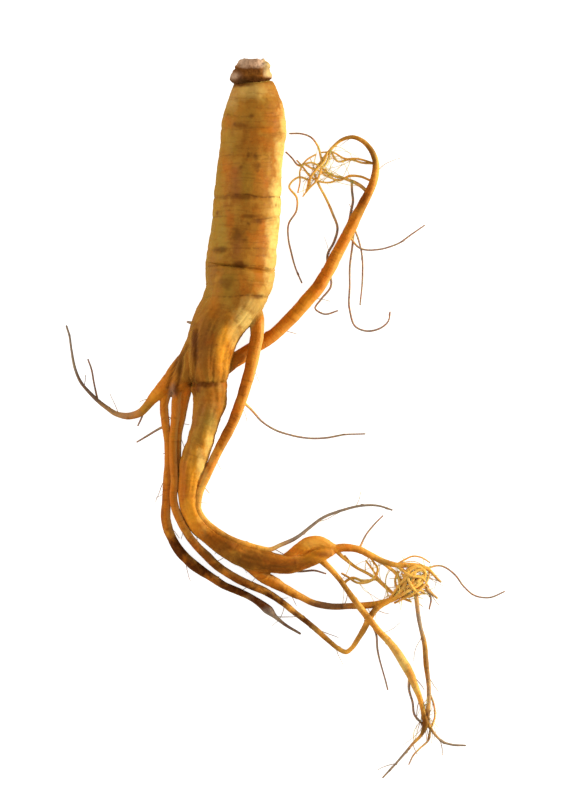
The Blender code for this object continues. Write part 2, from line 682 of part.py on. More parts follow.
def head_lump(name, middle, half_sizes, turn, collection):
    """One rough lump of the rhizome stub."""
    mesh = bpy.data.meshes.new(name)
    body = bmesh.new()
    bmesh.ops.create_uvsphere(
        body, u_segments=HEAD_LUMP_SEGMENTS, v_segments=HEAD_LUMP_RINGS, radius=1.0
    )
    for vertex in body.verts:
        rough = noise.noise(vertex.co * HEAD_ROUGHNESS_TIGHTNESS + Vector(middle)) * HEAD_ROUGHNESS
        size = Vector([half * vertex.co[axis] for axis, half in enumerate(half_sizes)])
        vertex.co = size + vertex.co * rough
    place = Matrix.Translation(middle) @ Matrix.Rotation(math.radians(turn), 4, "Z")
    bmesh.ops.transform(body, matrix=Matrix.Scale(MM, 4) @ place, verts=body.verts)
    bmesh.ops.recalc_face_normals(body, faces=body.faces)
    body.to_mesh(mesh)
    body.free()
    lump = bpy.data.objects.new(name, mesh)
    collection.objects.link(lump)
    return lump


def stem_scar(collection):
    """The cup at the end of the head, turned from its profile about an axis along Y."""
    mesh = bpy.data.meshes.new("stem_scar")
    body = bmesh.new()
    across, height = STEM_SCAR_MIDDLE
    profile = [body.verts.new((across + radius, y, height)) for radius, y in STEM_SCAR_PROFILE]
    edges = [body.edges.new(pair) for pair in zip(profile, profile[1:])]
    bmesh.ops.spin(
        body,
        geom=profile + edges,
        cent=(across, 0.0, height),
        axis=(0.0, 1.0, 0.0),
        angle=math.tau,
        steps=STEM_SCAR_STEPS,
        use_merge=True,
    )
    bmesh.ops.transform(body, matrix=Matrix.Scale(MM, 4), verts=body.verts)
    body.to_mesh(mesh)
    body.free()
    close_mesh(mesh)
    scar = bpy.data.objects.new("stem_scar", mesh)
    collection.objects.link(scar)
    return scar


def grow_branches(branches):
    """Every root, rootlet and hair that joins the taproot, and the head."""
    tube("leg", natural_route(LEG, LEG_STEP, LEG_SEED), LEG_SIDES, branches)
    tube("bundle_base", natural_route(BUNDLE_BASE, LEG_STEP, BASE_SEED), LEG_SIDES, branches)
    tube("knuckle", natural_route(KNUCKLE, ROOTLET_STEP, KNUCKLE_SEED), LATERAL_SIDES, branches)
    laterals = [LEFT_LATERAL, CROSSING_LATERAL, RIGHT_LATERAL]
    bundle = [BUNDLE_OUTER, BUNDLE_MIDDLE, BUNDLE_INNER]
    rootlets = [LEG_TIP, LOWER_LATERAL, LONG_ROOTLET, DROP_ROOTLET] + KNOT_ROOTLETS
    kinds = [
        ("lateral", laterals, LATERAL_STEP, LATERAL_SIDES, LATERAL_SEED),
        ("bundle", bundle, LATERAL_STEP, ROOTLET_SIDES, BUNDLE_SEED),
        ("rootlet", rootlets, ROOTLET_STEP, ROOTLET_SIDES, ROOTLET_SEED),
        ("hair", HAIRS, HAIR_STEP, HAIR_SIDES, HAIR_SEED),
    ]
    for kind, routes, step, sides, seed in kinds:
        for number, route in enumerate(routes):
            tube(f"{kind}_{number}", natural_route(route, step, seed + number), sides, branches)
    for number, (middle, half_sizes, turn) in enumerate(HEAD_LUMPS):
        head_lump(f"head_lump_{number}", middle, half_sizes, turn, branches)
    stem_scar(branches)


def build():
    clear_scene()
    parts = new_collection("ginseng_root")
    cutters = new_collection("cutters")
    branches = new_collection("branches")

    samples, _ = smooth_route(TAPROOT, TAPROOT_STEP)
    root = tube("ginseng_root", samples, TAPROOT_SIDES, parts)
    wrinkle_taproot(root, samples)
    slab = flatten_underside(root, cutters)
    grow_branches(branches)

    joined = root.modifiers.new("grown_together", "BOOLEAN")
    joined.operation = "UNION"
    joined.solver = "EXACT"
    joined.operand_type = "COLLECTION"
    joined.collection = branches
    bpy.context.view_layer.update()
    evaluated = root.evaluated_get(bpy.context.evaluated_depsgraph_get())
    mesh = bpy.data.meshes.new_from_object(evaluated)
    mesh.name = "ginseng_root"
    root.modifiers.clear()
    root.data = mesh
    for branch in list(branches.objects):
        bpy.data.objects.remove(branch, do_unlink=True)
    bpy.data.collections.remove(branches)
    bpy.data.objects.remove(slab, do_unlink=True)
    bpy.data.collections.remove(cutters)

    root.data.materials.clear()
    root.data.materials.append(make_skin())
    root.data.shade_smooth()


build()
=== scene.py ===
"""A fresh ginseng root, washed and laid on its side, seen from straight above.

The taproot is a ringed tube. The crown below it and the leg are skins grown over their tubes
by a voxel remesh, so that the forks run into each other, and the rhizome stub at the head is
grown over rough lumps. The slimmer roots and the hairs are swept tubes with rings and nodules.
X runs to the right, Y towards the head and Z up. Sizes are in millimetres, as in the part, and
MM makes them metres. Colours are linear red, green and blue.
"""

import math
import random

import bmesh
import bpy
import numpy as np
from mathutils import Matrix, Vector, noise


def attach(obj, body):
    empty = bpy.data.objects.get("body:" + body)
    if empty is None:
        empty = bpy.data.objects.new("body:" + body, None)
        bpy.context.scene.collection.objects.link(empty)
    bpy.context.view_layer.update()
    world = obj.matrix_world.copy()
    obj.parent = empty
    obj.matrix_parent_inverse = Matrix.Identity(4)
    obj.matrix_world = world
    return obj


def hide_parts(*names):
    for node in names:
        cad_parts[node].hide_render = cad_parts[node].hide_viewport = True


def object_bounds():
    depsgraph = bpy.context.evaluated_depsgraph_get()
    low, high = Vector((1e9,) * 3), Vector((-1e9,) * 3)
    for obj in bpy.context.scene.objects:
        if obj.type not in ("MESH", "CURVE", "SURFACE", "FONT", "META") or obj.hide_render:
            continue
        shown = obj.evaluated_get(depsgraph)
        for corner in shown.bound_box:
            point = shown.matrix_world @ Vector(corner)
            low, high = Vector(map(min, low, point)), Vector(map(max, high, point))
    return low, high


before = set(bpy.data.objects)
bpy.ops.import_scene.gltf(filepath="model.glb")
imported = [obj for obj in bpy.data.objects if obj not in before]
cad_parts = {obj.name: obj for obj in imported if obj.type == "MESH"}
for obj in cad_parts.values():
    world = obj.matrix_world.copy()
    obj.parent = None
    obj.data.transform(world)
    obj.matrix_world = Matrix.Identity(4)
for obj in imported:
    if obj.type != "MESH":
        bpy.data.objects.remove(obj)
CAD_BOX = [list(corner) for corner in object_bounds()]

MM = 0.001
NODE = "ginseng_root"

# Past either end of any root
FAR = 1e9

# The camera's frame in metres: 564 by 800 pixels, 3 of them to the millimetre
FRAME_HEIGHT = 0.2667
FRAME_MIDDLE = (-0.001, 0.007)
FOCUS_HEIGHT = 0.005
LENS = 300.0
SENSOR = 36.0
CLIP_END = 20.0

# Windows, each a disk: place and size in metres, power and tint
RIGHT_WINDOW = ((0.80, 0.14, 0.08), 0.34, 12.5, (1.0, 0.97, 0.88))
LEFT_WINDOW = ((-0.80, 0.10, 0.15), 0.5, 4.0, (1.0, 0.99, 0.97))

# Light from the white room, what the camera sees of it on top, and the board under the root
ROOM_LIGHT = 0.58
ROOM_SEEN = 0.42
FLOOR_SIZE = 6.0
FLOOR_WHITE = 0.8
FLOOR_GLOW = 0.82

# How a root strays from its route and swells along it, as in the part
GROUND_GAP = 0.2
STRAY = 0.35
STRAY_LENGTH = 9.0
SWELL_SHARE = 0.07
SWELL_LENGTH = 6.0

# Where in the noise a root reads its straying along X and Y and its swelling, as in the part
STRAY_X_PLACE = 0.5
STRAY_Y_PLACE = 7.5
SWELL_PLACE = 3.5
STRAY_SEED_SPACING = 3.7
SWELL_SEED_SPACING = 5.3

# Seeds of the straying, as in the part
LEG_SEED = 1
BASE_SEED = 2
KNUCKLE_SEED = 3
LATERAL_SEED = 10
BUNDLE_SEED = 15
ROOTLET_SEED = 20
HAIR_SEED = 40

# Seeds of what only the scene has: the finer strands and hairs, and the relief of each skin
TANGLE_SEED = 500
KNOT_SEED = 520
ZONE_SEED = 1000
SIDE_HAIR_SEED = 9000
FINE_RING_SEED = 4
LENTICEL_SEED = 9
BASE_RELIEF_SEED = 51
LEG_RELIEF_SEED = 52
KNUCKLE_RELIEF_SEED = 53
LATERAL_RELIEF_SEED = 60
ROOTLET_RELIEF_SEED = 80
HAIR_RELIEF_SEED = 300

# Steps along the tubes, and sides round them. The rough ones are grown into the crown or the leg.
BODY_STEP = 0.22
FINE_STEP = 0.4
HAIR_STEP = 0.8
SIDES = {
    "taproot": 150, "lateral": 28, "rootlet": 18, "hair": 10, "knot strand": 12, "fine hair": 6,
    "rough taproot": 90, "rough base": 48, "rough lateral": 30,
    "rough leg": 56, "rough knuckle": 32, "rough rootlet": 24,
}

# Voxels of the grown skins, and how many times each skin is smoothed
CROWN_VOXEL = 0.27
LEG_VOXEL = 0.26
HEAD_VOXEL = 0.2
CROWN_SMOOTHING = 8
LEG_SMOOTHING = 6
HEAD_SMOOTHING = 9

# The least height above the ground, the dome at a root's end, and how far ahead a ring looks
FLOOR_CLEARANCE = 0.03
DOME_REACH = 0.6
DOME_TURNS = (30.0, 60.0, 82.0)
FRAME_REACH = 0.8

# Where one skin takes over from another, both dive under over this length by this share
OVERLAP = 1.2
PINCH = 0.2
BODY_END = 61.6
LATERAL_JOIN = 17.0
ROOTLET_JOINS = {"leg_tip": 9.0, "long_rootlet": 7.0, "lower_lateral": 14.0}

# How roots blend at a fork, and how far a grown skin is brought back to its own tube
FORK_BLEND = 0.6
FORK_GAPS = (-2.0, 12.0)
TRUE_UP = 0.12
TRUE_UP_REACH = 0.4

# Noise round a root is read by its tightness round it, its length along it and its offset

# Unevenness of the taproot: height, then the noise
TAPROOT_NOISES = (
    (0.45, 0.9, 14.0, 5.0), (0.16, 3.0, 4.5, 21.0), (0.07, 7.0, 1.5, 31.0), (0.05, 9.0, 9.0, 41.0),
)

# Unevenness of a slim root: share of its radius, tightness, length, and offset from seed to seed
SLIM_NOISES = ((0.07, 0.8, 3.2, 1.7), (0.07, 3.2, 9.0, 2.3), (0.025, 4.0, 1.2, 3.1))

# Ring wrinkles round the taproot: place along Y, depth, half width, and how dark its crease is
RING_WRINKLES = [
    (107.6, 0.15, 0.9, 0.15), (104.6, 0.20, 1.0, 0.15), (101.4, 0.30, 1.0, 0.45),
    (97.2, 0.42, 1.1, 0.8), (92.6, 0.18, 1.0, 0.2), (88.0, 0.28, 1.1, 0.25), (83.4, 0.16, 1.2, 0.2),
    (79.0, 0.26, 1.1, 0.2), (74.4, 0.45, 1.1, 0.95), (71.0, 0.18, 1.0, 0.15), (67.8, 0.38, 1.1, 0.7),
    (62.4, 0.20, 1.2, 0.2), (57.2, 0.36, 1.1, 0.5), (51.2, 0.45, 1.2, 0.85), (46.2, 0.24, 1.1, 0.3),
    (41.2, 0.38, 1.2, 0.7), (36.0, 0.20, 1.2, 0.25), (30.6, 0.22, 1.2, 0.2), (25.0, 0.22, 1.2, 0.2),
    (19.6, 0.22, 1.2, 0.2),
]
RING_REACH = 6.0
RING_SLANT = 1.1
RING_JAG = 0.25
RING_WAVE = (1.3, 9.0, 0.0)
RING_FINE_WAVE = (2.6, 5.0, 11.0)
RING_DISH_SHARE = 0.62
CREASE_SHARE = 0.4
CREASE_HALF_WIDTH = 0.28
RING_DARKENING_SLOPE = 2.2
RING_DARKENING_DROP = 0.7

# How strong a ring is round the root: its mean, its swing and the tightness of the noise
RING_FADE = (0.65, 0.5, 1.1)

# Thin broken rings between the ring wrinkles: how many, from where along Y and over what length
FINE_RING_COUNT = 150
FINE_RINGS_FROM = 18.0
FINE_RINGS_LENGTH = 92.0
FINE_RING_SLANT = 0.8 * RING_SLANT
FINE_RING_JAG = 0.4
FINE_RING_REACH = 3.0
FINE_RING_DARKENING = 0.3

# Short raised dashes across the taproot
LENTICEL_COUNT = 120
LENTICEL_SPAN = (20.0, 109.0)
LENTICEL_REACH = 1.5
LENTICEL_STAIN = 0.4

# Folds that run down the taproot where it turns into the crown
CROWN_FOLDS_FROM = 44.0
CROWN_FOLD_EASE = 12.0
CROWN_FOLD_HEIGHT = 0.3
CROWN_FOLD_DARKENING = 0.45
CROWN_FOLD_SLOPE = 2.6
CROWN_FOLD_DROP = 0.6
CROWN_FOLD_NOISES = ((1.0, 4.6, 15.0, 51.0), (0.5, 9.0, 11.0, 61.0))

# Scars of lost rootlets on the taproot: place along Y, angle round it in degrees, and radius
ROOT_SCARS = [
    (87.7, 82.5, 1.3), (84.7, 74.5, 1.0), (61.7, 99.0, 1.8), (101.0, 94.6, 0.8), (84.3, 104.5, 0.7),
    (51.6, 90.0, 1.0), (66.3, 69.0, 0.7), (98.5, 126.0, 0.6), (71.5, 32.0, 0.8), (93.0, 200.0, 1.1),
    (66.0, 230.0, 1.3), (76.0, 320.0, 1.2), (58.0, 195.0, 1.0), (90.0, -15.0, 1.0), (69.0, 150.0, 0.8),
]
SCAR_EDGE_NOISES = ((1.0, 6.0, 1.9, 17.0), (0.5, 13.0, 0.9, 7.0))
SCAR_RIM_HEIGHT = 0.05
SCAR_PIT_DEPTH = 0.12
SCAR_STAIN = 0.9
SCAR_RAGGEDNESS = 0.9
SCAR_SQUASH = 0.9

# Width of a scar's rim and of its pit, and how far it reaches, as shares of its radius
SCAR_RIM_WIDTH = 0.6
SCAR_PIT_WIDTH = 0.7
SCAR_REACH = 4.0

# The radius at which angles round the taproot are turned into distances
TAPROOT_GIRTH = 11.5

# Rings across a slim root, and nodules on it
SLIM_RING_REACH = 3.0
SLIM_RING_SHARE = 0.06
NODULE_REACH = 1.5
NODULE_STAIN = 0.5
HAIR_NODULES = 0.05

# Painted light on a slim root: paler on the side that faces this way as a painted highlight, darker on the
# other as painted shade, where it's thinner than this girth
PAINTED_LIGHT_WAY = (0.95, 0.3)
PAINTED_LIGHT_GIRTH = 3.0
PAINTED_LIGHT_GIRTH_EASE = 0.8
PAINTED_LIGHT_FROM = 0.1
PAINTED_LIGHT_EASE = 0.7
PAINTED_HIGHLIGHT_SHARE = 0.6
PAINTED_SHADE_SHARE = 0.5

# Furrows of the crown, seen from above, where the forks part
CROWN_FURROWS = [
    [(-29.0, 30.0), (-29.4, 25.3), (-29.2, 21.7), (-30.0, 17.7), (-30.7, 12.0)],
    [(-32.3, 25.3), (-34.0, 21.7), (-34.7, 17.7), (-35.3, 13.0), (-36.0, 9.7)],
    [(-36.3, 19.7), (-37.7, 15.3), (-39.0, 11.0)],
]
FURROW_DEPTH = 0.5
FURROW_HALF_WIDTH = 0.65
# Painted shade in the crown's furrows
FURROW_SHADE = 0.75
FURROW_WOBBLE = 0.3
FURROW_SPREAD = 0.4

# The crease of the collar, where the leg leaves the crown: Y at X, its slant, and the X it spans
COLLAR_PLACE = (12.3, -26.0)
COLLAR_SLANT = 0.035
COLLAR_SPAN = (-32.6, -19.4)
COLLAR_DEPTH = 0.38
COLLAR_HALF_WIDTH = 0.7
COLLAR_WOBBLE = 0.5

# Middle, pale, deep and orange skin of a stout root, a slim root, a rootlet, a hair and the stub
STOUT_SKIN = ((0.365, 0.138, 0.013), (0.47, 0.22, 0.026), (0.25, 0.080, 0.006), (0.44, 0.115, 0.007))
SLIM_SKIN = ((0.64, 0.18, 0.010), (0.80, 0.33, 0.028), (0.28, 0.060, 0.004), (0.76, 0.17, 0.007))
ROOTLET_SKIN = ((0.92, 0.42, 0.055), (0.97, 0.62, 0.140), (0.56, 0.18, 0.018), (0.94, 0.32, 0.025))
HAIR_SKIN = ((0.95, 0.55, 0.15), (0.97, 0.70, 0.26), (0.72, 0.32, 0.07), (0.96, 0.46, 0.08))
BARK = ((0.22, 0.070, 0.007), (0.32, 0.13, 0.030), (0.11, 0.030, 0.003), (0.26, 0.080, 0.010))
CAP = ((0.53, 0.33, 0.20), (0.64, 0.44, 0.29), (0.31, 0.16, 0.08), (0.52, 0.29, 0.16))

# Girths between which a rootlet's skin turns into a slim root's, and that into a stout root's
SLIM_GIRTHS = (0.7, 1.5)
STOUT_GIRTHS = (2.2, 4.4)

# Blotches of the skin: colour, scale, offset, where the noise turns into them, and share
BLOTCHES = (
    ("Pale", 0.19, 0.0, 0.46, 0.66, 0.6), ("Deep", 0.27, 31.0, 0.48, 0.7, 0.55),
    ("Orange", 0.15, 67.0, 0.5, 0.68, 0.6), ("Deep", 1.1, 12.0, 0.54, 0.72, 0.4),
    ("Pale", 1.5, 44.0, 0.56, 0.74, 0.35),
)

# Colour and share of each kind of patch, in the order in which they are laid. The orange bright kind is a
# painted highlight, and the pale, dark and dusky kinds are partly painted highlight and shade.
PATCH_TINTS = {
    "olive": ((0.345, 0.205, 0.022), 0.75),
    "dusky_and_shade": ((0.30, 0.095, 0.024), 0.65),
    "warm": ((0.50, 0.13, 0.003), 0.75),
    # Painted highlight, in orange
    "painted_highlight": ((0.84, 0.32, 0.018), 0.85),
    "pale": ((0.86, 0.57, 0.15), 0.8),
    "dry": ((0.29, 0.215, 0.15), 0.95),
    "dark": ((0.100, 0.022, 0.001), 1.0),
}
# Colour of the creases; in the crown's furrows and the stub's dark band it is painted shade in part
GROOVE_TINT = (0.09, 0.025, 0.002)
GROOVE_SHARE = 0.85
SCAR_TINT = (0.13, 0.04, 0.005)
SCAR_SHARE = 0.75
CRACK_TINT = (0.05, 0.014, 0.002)
# Painted highlight on the stub's right side
PAINTED_HIGHLIGHT_BARK = (0.62, 0.42, 0.15)

# A patch's edge: its reach in half sizes, how ragged it is, and the scales of its noise
PATCH_REACH = 1.5
PATCH_RAGGEDNESS = 0.45
PATCH_COARSE = 0.45
PATCH_FINE = 1.3

# Places where the skin's colour strays, and where highlight and shade are painted on: x, y, half sizes
# along both, and strength
PATCHES = {
    # Dark spots on the taproot, and painted shade: in the crown's furrows, at the collar's crease, at the
    # shoulder under the stub, under the leg and over the bundle that the leg shades at the bend
    "dark": [
        (-15.0, 98.0, 2.4, 0.7, 0.5), (-9.7, 66.3, 1.2, 1.0, 0.5), (-21.3, 56.7, 2.2, 1.0, 0.7),
        (-15.0, 51.5, 2.6, 1.1, 0.7), (-19.7, 45.7, 2.2, 1.8, 0.5), (-14.0, 74.2, 5.0, 0.9, 0.6),
        (-11.3, 67.8, 3.2, 0.6, 0.6), (-8.9, 41.2, 1.8, 0.7, 0.7), (-19.0, 33.0, 1.5, 1.5, 0.5),
        (-29.8, 26.0, 1.3, 6.0, 0.8), (-35.2, 19.4, 1.3, 5.0, 0.6), (-41.0, -30.0, 0.8, 12.0, 0.4),
        (-36.0, -43.0, 5.0, 6.0, 1.0), (-30.0, -49.5, 7.0, 4.0, 1.0),
        (-18.0, -56.5, 10.0, 3.4, 1.0), (-6.0, -60.0, 8.0, 3.4, 1.0), (6.0, -67.5, 6.0, 4.0, 0.9),
        (-36.2, 10.4, 1.3, 2.4, 0.5), (-64.0, 10.0, 7.0, 9.0, 0.55), (-29.7, 11.6, 1.5, 3.4, 0.7),
        (20.4, -54.0, 3.6, 4.0, 0.6), (-9.0, -57.2, 4.0, 1.6, 0.5), (22.0, 94.6, 5.0, 1.6, 0.5),
        (-21.0, -40.6, 6.0, 4.2, 0.6), (-11.0, -46.2, 9.0, 3.0, 0.6), (0.0, -48.6, 9.0, 2.4, 0.68),
        (6.5, -47.4, 5.0, 2.2, 0.65), (14.5, -61.6, 8.0, 1.8, 0.7), (14.0, -73.5, 6.0, 4.0, 0.6),
        (25.0, -72.0, 2.5, 5.0, 0.45), (-26.0, -45.0, 5.0, 2.6, 0.7), (-24.4, -49.0, 5.0, 2.4, 0.8),
        (-15.6, -53.0, 5.0, 2.0, 0.7), (28.6, 90.0, 2.2, 6.0, 0.65), (12.0, -44.4, 3.0, 1.0, 0.5),
        (-19.0, -8.0, 2.0, 8.0, 0.35), (-15.0, 111.8, 4.0, 0.9, 0.9), (-27.2, 12.1, 4.4, 1.1, 0.8),
        (33.0, -47.0, 3.0, 1.2, 0.5), (29.0, -64.0, 2.0, 3.0, 0.5), (-26.0, 23.0, 3.2, 8.0, 0.25),
        (26.0, 73.0, 1.8, 8.0, 0.45), (46.6, -101.5, 2.2, 5.0, 0.8), (47.0, -78.0, 1.8, 8.0, 0.45),
        (21.5, -57.0, 3.0, 5.0, 0.5),
    ],
    # Paler skin on the rootlets, the knot and the tangle, and painted highlight: a strip down the taproot's
    # right flank, the right edge of the leg, the crown's right side and the knuckle
    "pale": [
        (-11.5, 109.6, 5.4, 2.4, 0.45), (-13.2, 33.6, 2.6, 3.6, 0.9), (-17.6, 107.0, 2.0, 3.0, 0.3),
        (-25.1, -8.6, 1.4, 4.6, 0.8), (-27.8, -15.4, 1.5, 5.0, 0.85), (-10.0, 38.0, 3.4, 3.0, 0.5),
        (-16.6, 29.0, 1.8, 5.0, 0.55), (27.0, -53.5, 5.0, 1.4, 0.8), (39.5, -80.0, 3.0, 5.0, 0.9),
        (10.7, -40.6, 4.5, 1.8, 0.25), (42.0, -54.0, 7.0, 6.0, 0.55), (-24.0, -3.0, 1.6, 9.0, 0.2),
        (-27.5, -25.0, 2.0, 9.0, 0.4), (42.0, -88.0, 3.0, 8.0, 0.4), (36.0, -76.0, 4.0, 6.0, 0.6),
        (11.0, 83.0, 9.0, 9.0, 0.7), (0.8, 99.0, 2.2, 8.0, 0.8), (-0.2, 86.0, 2.6, 9.0, 1.0),
        (-1.6, 72.0, 2.8, 9.0, 1.0), (-2.8, 60.0, 2.8, 8.0, 0.95), (-4.0, 50.0, 2.4, 8.0, 0.75),
        (-7.0, 40.0, 2.2, 4.0, 0.5),
    ],
    # Painted highlights in orange: the crown's fork, the leg's lit side, the knuckle and the knot
    "painted_highlight": [
        (-20.6, 22.0, 2.0, 5.5, 0.8), (-18.4, 29.0, 2.0, 5.0, 0.75), (-25.6, -8.0, 2.0, 5.0, 0.7),
        (-30.4, -31.0, 3.0, 5.5, 0.9), (-29.6, -18.0, 2.4, 7.0, 0.95), (10.7, -41.2, 5.4, 2.8, 0.9),
        (8.0, -45.2, 2.8, 1.9, 0.9), (4.6, 39.6, 5.0, 6.0, 0.45), (12.2, -46.8, 3.4, 1.3, 0.7),
        (41.5, -53.5, 6.5, 6.5, 0.3), (35.0, -59.0, 5.0, 2.5, 0.5), (-43.2, 8.0, 2.2, 2.2, 0.6),
    ],
    # Redder skin; on the crown's right side and under the knuckle these are part of the painted highlight
    "warm": [
        (-5.7, 96.3, 3.0, 1.2, 0.6), (-19.7, 83.7, 1.8, 7.0, 0.25), (-7.7, 65.0, 1.3, 2.4, 0.45),
        (-8.3, 50.3, 1.7, 4.0, 0.7), (-23.7, 37.0, 1.8, 3.4, 0.6), (-5.7, 27.7, 4.0, 4.0, 0.8),
        (-24.0, 7.5, 3.0, 3.0, 0.5), (-22.4, 5.0, 1.4, 4.0, 0.4), (-14.6, 22.6, 4.0, 4.0, 0.9),
        (-37.7, -6.3, 3.0, 5.0, 0.7), (-39.5, 8.7, 2.4, 4.0, 0.6), (-3.3, -54.4, 4.5, 2.6, 0.6),
        (-28.0, -33.0, 2.0, 6.0, 0.5), (-37.0, -22.0, 3.0, 12.0, 0.5), (-22.7, 19.0, 3.0, 4.0, 0.5),
        (5.0, 39.0, 6.0, 8.0, 0.7), (30.0, -59.0, 6.0, 2.0, 0.3), (-9.0, 44.0, 1.6, 2.2, 0.5),
        (11.0, -44.6, 6.0, 1.2, 0.5), (-24.0, -39.0, 4.0, 2.6, 0.7), (-38.6, -26.0, 2.0, 10.0, 0.6),
    ],
    "dusky_and_shade": [
        (-16.3, 79.0, 1.8, 5.6, 0.7), (-15.7, 57.5, 1.8, 3.4, 0.7), (-27.0, 27.0, 2.2, 6.5, 0.45),
        (-17.9, 107.4, 2.0, 3.6, 0.8), (-24.6, 50.0, 1.4, 6.0, 0.6), (-27.5, 5.0, 1.2, 8.0, 0.5),
        (-30.2, 0.5, 1.6, 3.4, 0.6), (47.4, -80.0, 1.8, 7.0, 0.8),
    ],
    "olive": [
        (-18.5, 92.0, 3.2, 4.6, 0.6), (-21.3, 63.0, 2.0, 9.0, 0.9), (-19.0, 45.0, 2.4, 6.0, 0.6),
        (-25.6, -2.6, 2.2, 5.4, 0.9), (-18.5, 103.6, 2.6, 2.8, 0.6), (-12.6, 80.0, 2.0, 6.0, 0.5),
        (-29.0, -10.0, 2.0, 6.0, 0.4), (-21.0, 27.0, 2.0, 5.0, 0.4), (39.0, -79.0, 3.0, 6.0, 0.4),
        (-21.6, 96.0, 2.0, 8.0, 0.6), (-22.6, 80.0, 2.2, 9.0, 0.7), (-23.6, 64.0, 2.2, 9.0, 0.7),
        (-25.6, 48.0, 2.2, 9.0, 0.6), (-46.5, 4.5, 2.5, 3.5, 0.7), (-13.0, 104.0, 6.0, 4.5, 0.45),
    ],
    "dry": [
        (-66.0, 15.0, 13.0, 17.0, 0.9), (56.0, -107.0, 9.0, 5.0, 1.0),
        (37.0, -114.0, 8.0, 8.0, 1.0), (0.0, -69.0, 8.0, 4.0, 0.6), (50.0, -57.0, 3.0, 5.0, 0.5),
        (45.2, -67.0, 2.4, 7.0, 0.9), (49.2, -90.0, 2.0, 10.0, 0.7), (-55.0, 2.8, 5.5, 3.0, 0.55),
        (-37.6, 10.0, 1.3, 2.2, 0.6), (15.5, -61.4, 6.0, 1.6, 0.6),
    ],
}

# Every route below is a row of (x, y, height of the middle, radius)

TAPROOT = [
    (-10.5, 112.6, 10.9, 6.4), (-10.4, 111.0, 10.8, 7.3), (-10.3, 108.3, 10.3, 8.4),
    (-10.1, 105.7, 10.15, 9.45), (-10.2, 103.0, 10.1, 10.2), (-10.3, 100.3, 10.2, 10.7),
    (-10.4, 97.0, 10.15, 10.9), (-11.1, 90.3, 9.9, 10.6), (-11.9, 82.0, 10.1, 10.85),
    (-12.4, 73.7, 10.55, 11.3), (-12.9, 67.0, 10.6, 11.35), (-13.7, 60.3, 10.6, 11.35),
    (-14.5, 53.7, 10.95, 11.7), (-15.4, 47.0, 10.75, 11.45), (-16.6, 42.0, 9.8, 10.4),
    (-19.3, 37.0, 9.0, 9.4), (-22.6, 32.0, 8.9, 8.7), (-24.4, 27.0, 8.7, 8.2), (-25.5, 20.6, 8.4, 7.6),
    (-25.5, 15.6, 7.9, 6.8), (-25.3, 12.6, 7.6, 5.6), (-25.2, 10.6, 7.4, 3.6),
]

LEG = [
    (-24.8, 23.0, 8.6, 5.4), (-25.4, 15.0, 7.9, 6.0), (-25.3, 11.4, 7.4, 5.9), (-24.9, 7.0, 6.8, 5.4),
    (-26.5, 0.3, 6.1, 4.7), (-28.2, -6.3, 5.5, 4.4), (-30.2, -13.0, 5.0, 4.4), (-31.7, -19.7, 4.6, 3.8),
    (-32.1, -26.3, 4.4, 3.4), (-30.1, -32.7, 4.3, 3.2), (-25.7, -37.7, 4.3, 3.2),
    (-19.9, -41.5, 4.4, 3.6), (-13.3, -44.9, 4.3, 3.9), (-5.7, -46.8, 4.1, 3.6), (1.7, -47.6, 3.8, 3.0),
    (7.0, -46.8, 3.6, 2.5), (11.5, -44.8, 3.5, 2.3), (15.5, -43.2, 3.0, 1.7),
]

# The knuckle above the end of the leg
KNUCKLE = [
    (-1.5, -46.6, 3.8, 1.3), (1.6, -44.9, 3.8, 1.7), (4.6, -42.7, 3.6, 2.1), (8.0, -40.9, 3.5, 2.4),
    (11.4, -40.6, 3.3, 2.2), (14.4, -41.8, 3.0, 1.8), (17.4, -42.8, 2.8, 1.2),
]

LEG_TIP = [
    (11.5, -44.6, 3.4, 1.5), (15.5, -43.1, 3.0, 1.5), (20.0, -42.4, 2.6, 1.35), (25.0, -42.9, 2.3, 1.2),
    (28.5, -44.7, 2.1, 1.1), (33.3, -47.0, 2.0, 1.0), (38.3, -48.0, 2.1, 0.85), (43.3, -48.0, 2.2, 0.75),
    (47.7, -49.4, 2.0, 0.6), (50.3, -52.0, 1.5, 0.45), (52.0, -53.7, 1.1, 0.35),
]

# The swollen base that the left lateral root and the bundle share
BUNDLE_BASE = [
    (-24.0, 36.0, 9.6, 5.2), (-27.6, 27.4, 8.8, 4.6), (-30.9, 20.6, 7.8, 4.4), (-34.0, 15.6, 6.9, 4.0),
    (-36.2, 11.9, 6.2, 3.1), (-37.0, 10.0, 6.0, 1.8),
]

LEFT_LATERAL = [
    (-31.8, 20.6, 7.2, 3.5), (-36.5, 15.4, 6.3, 3.4), (-39.9, 11.7, 5.5, 2.7), (-42.9, 8.5, 4.6, 2.0),
    (-46.0, 5.0, 3.7, 1.45), (-48.7, 2.6, 3.1, 1.35), (-51.8, 1.5, 2.6, 1.2), (-55.7, 2.0, 2.1, 0.95),
    (-60.0, 4.8, 1.7, 0.75), (-64.3, 8.7, 1.4, 0.62), (-68.0, 13.0, 1.2, 0.54), (-70.3, 18.7, 1.0, 0.46),
    (-71.4, 23.7, 0.9, 0.4), (-72.0, 28.4, 0.8, 0.36), (-73.0, 31.7, 0.7, 0.32),
]

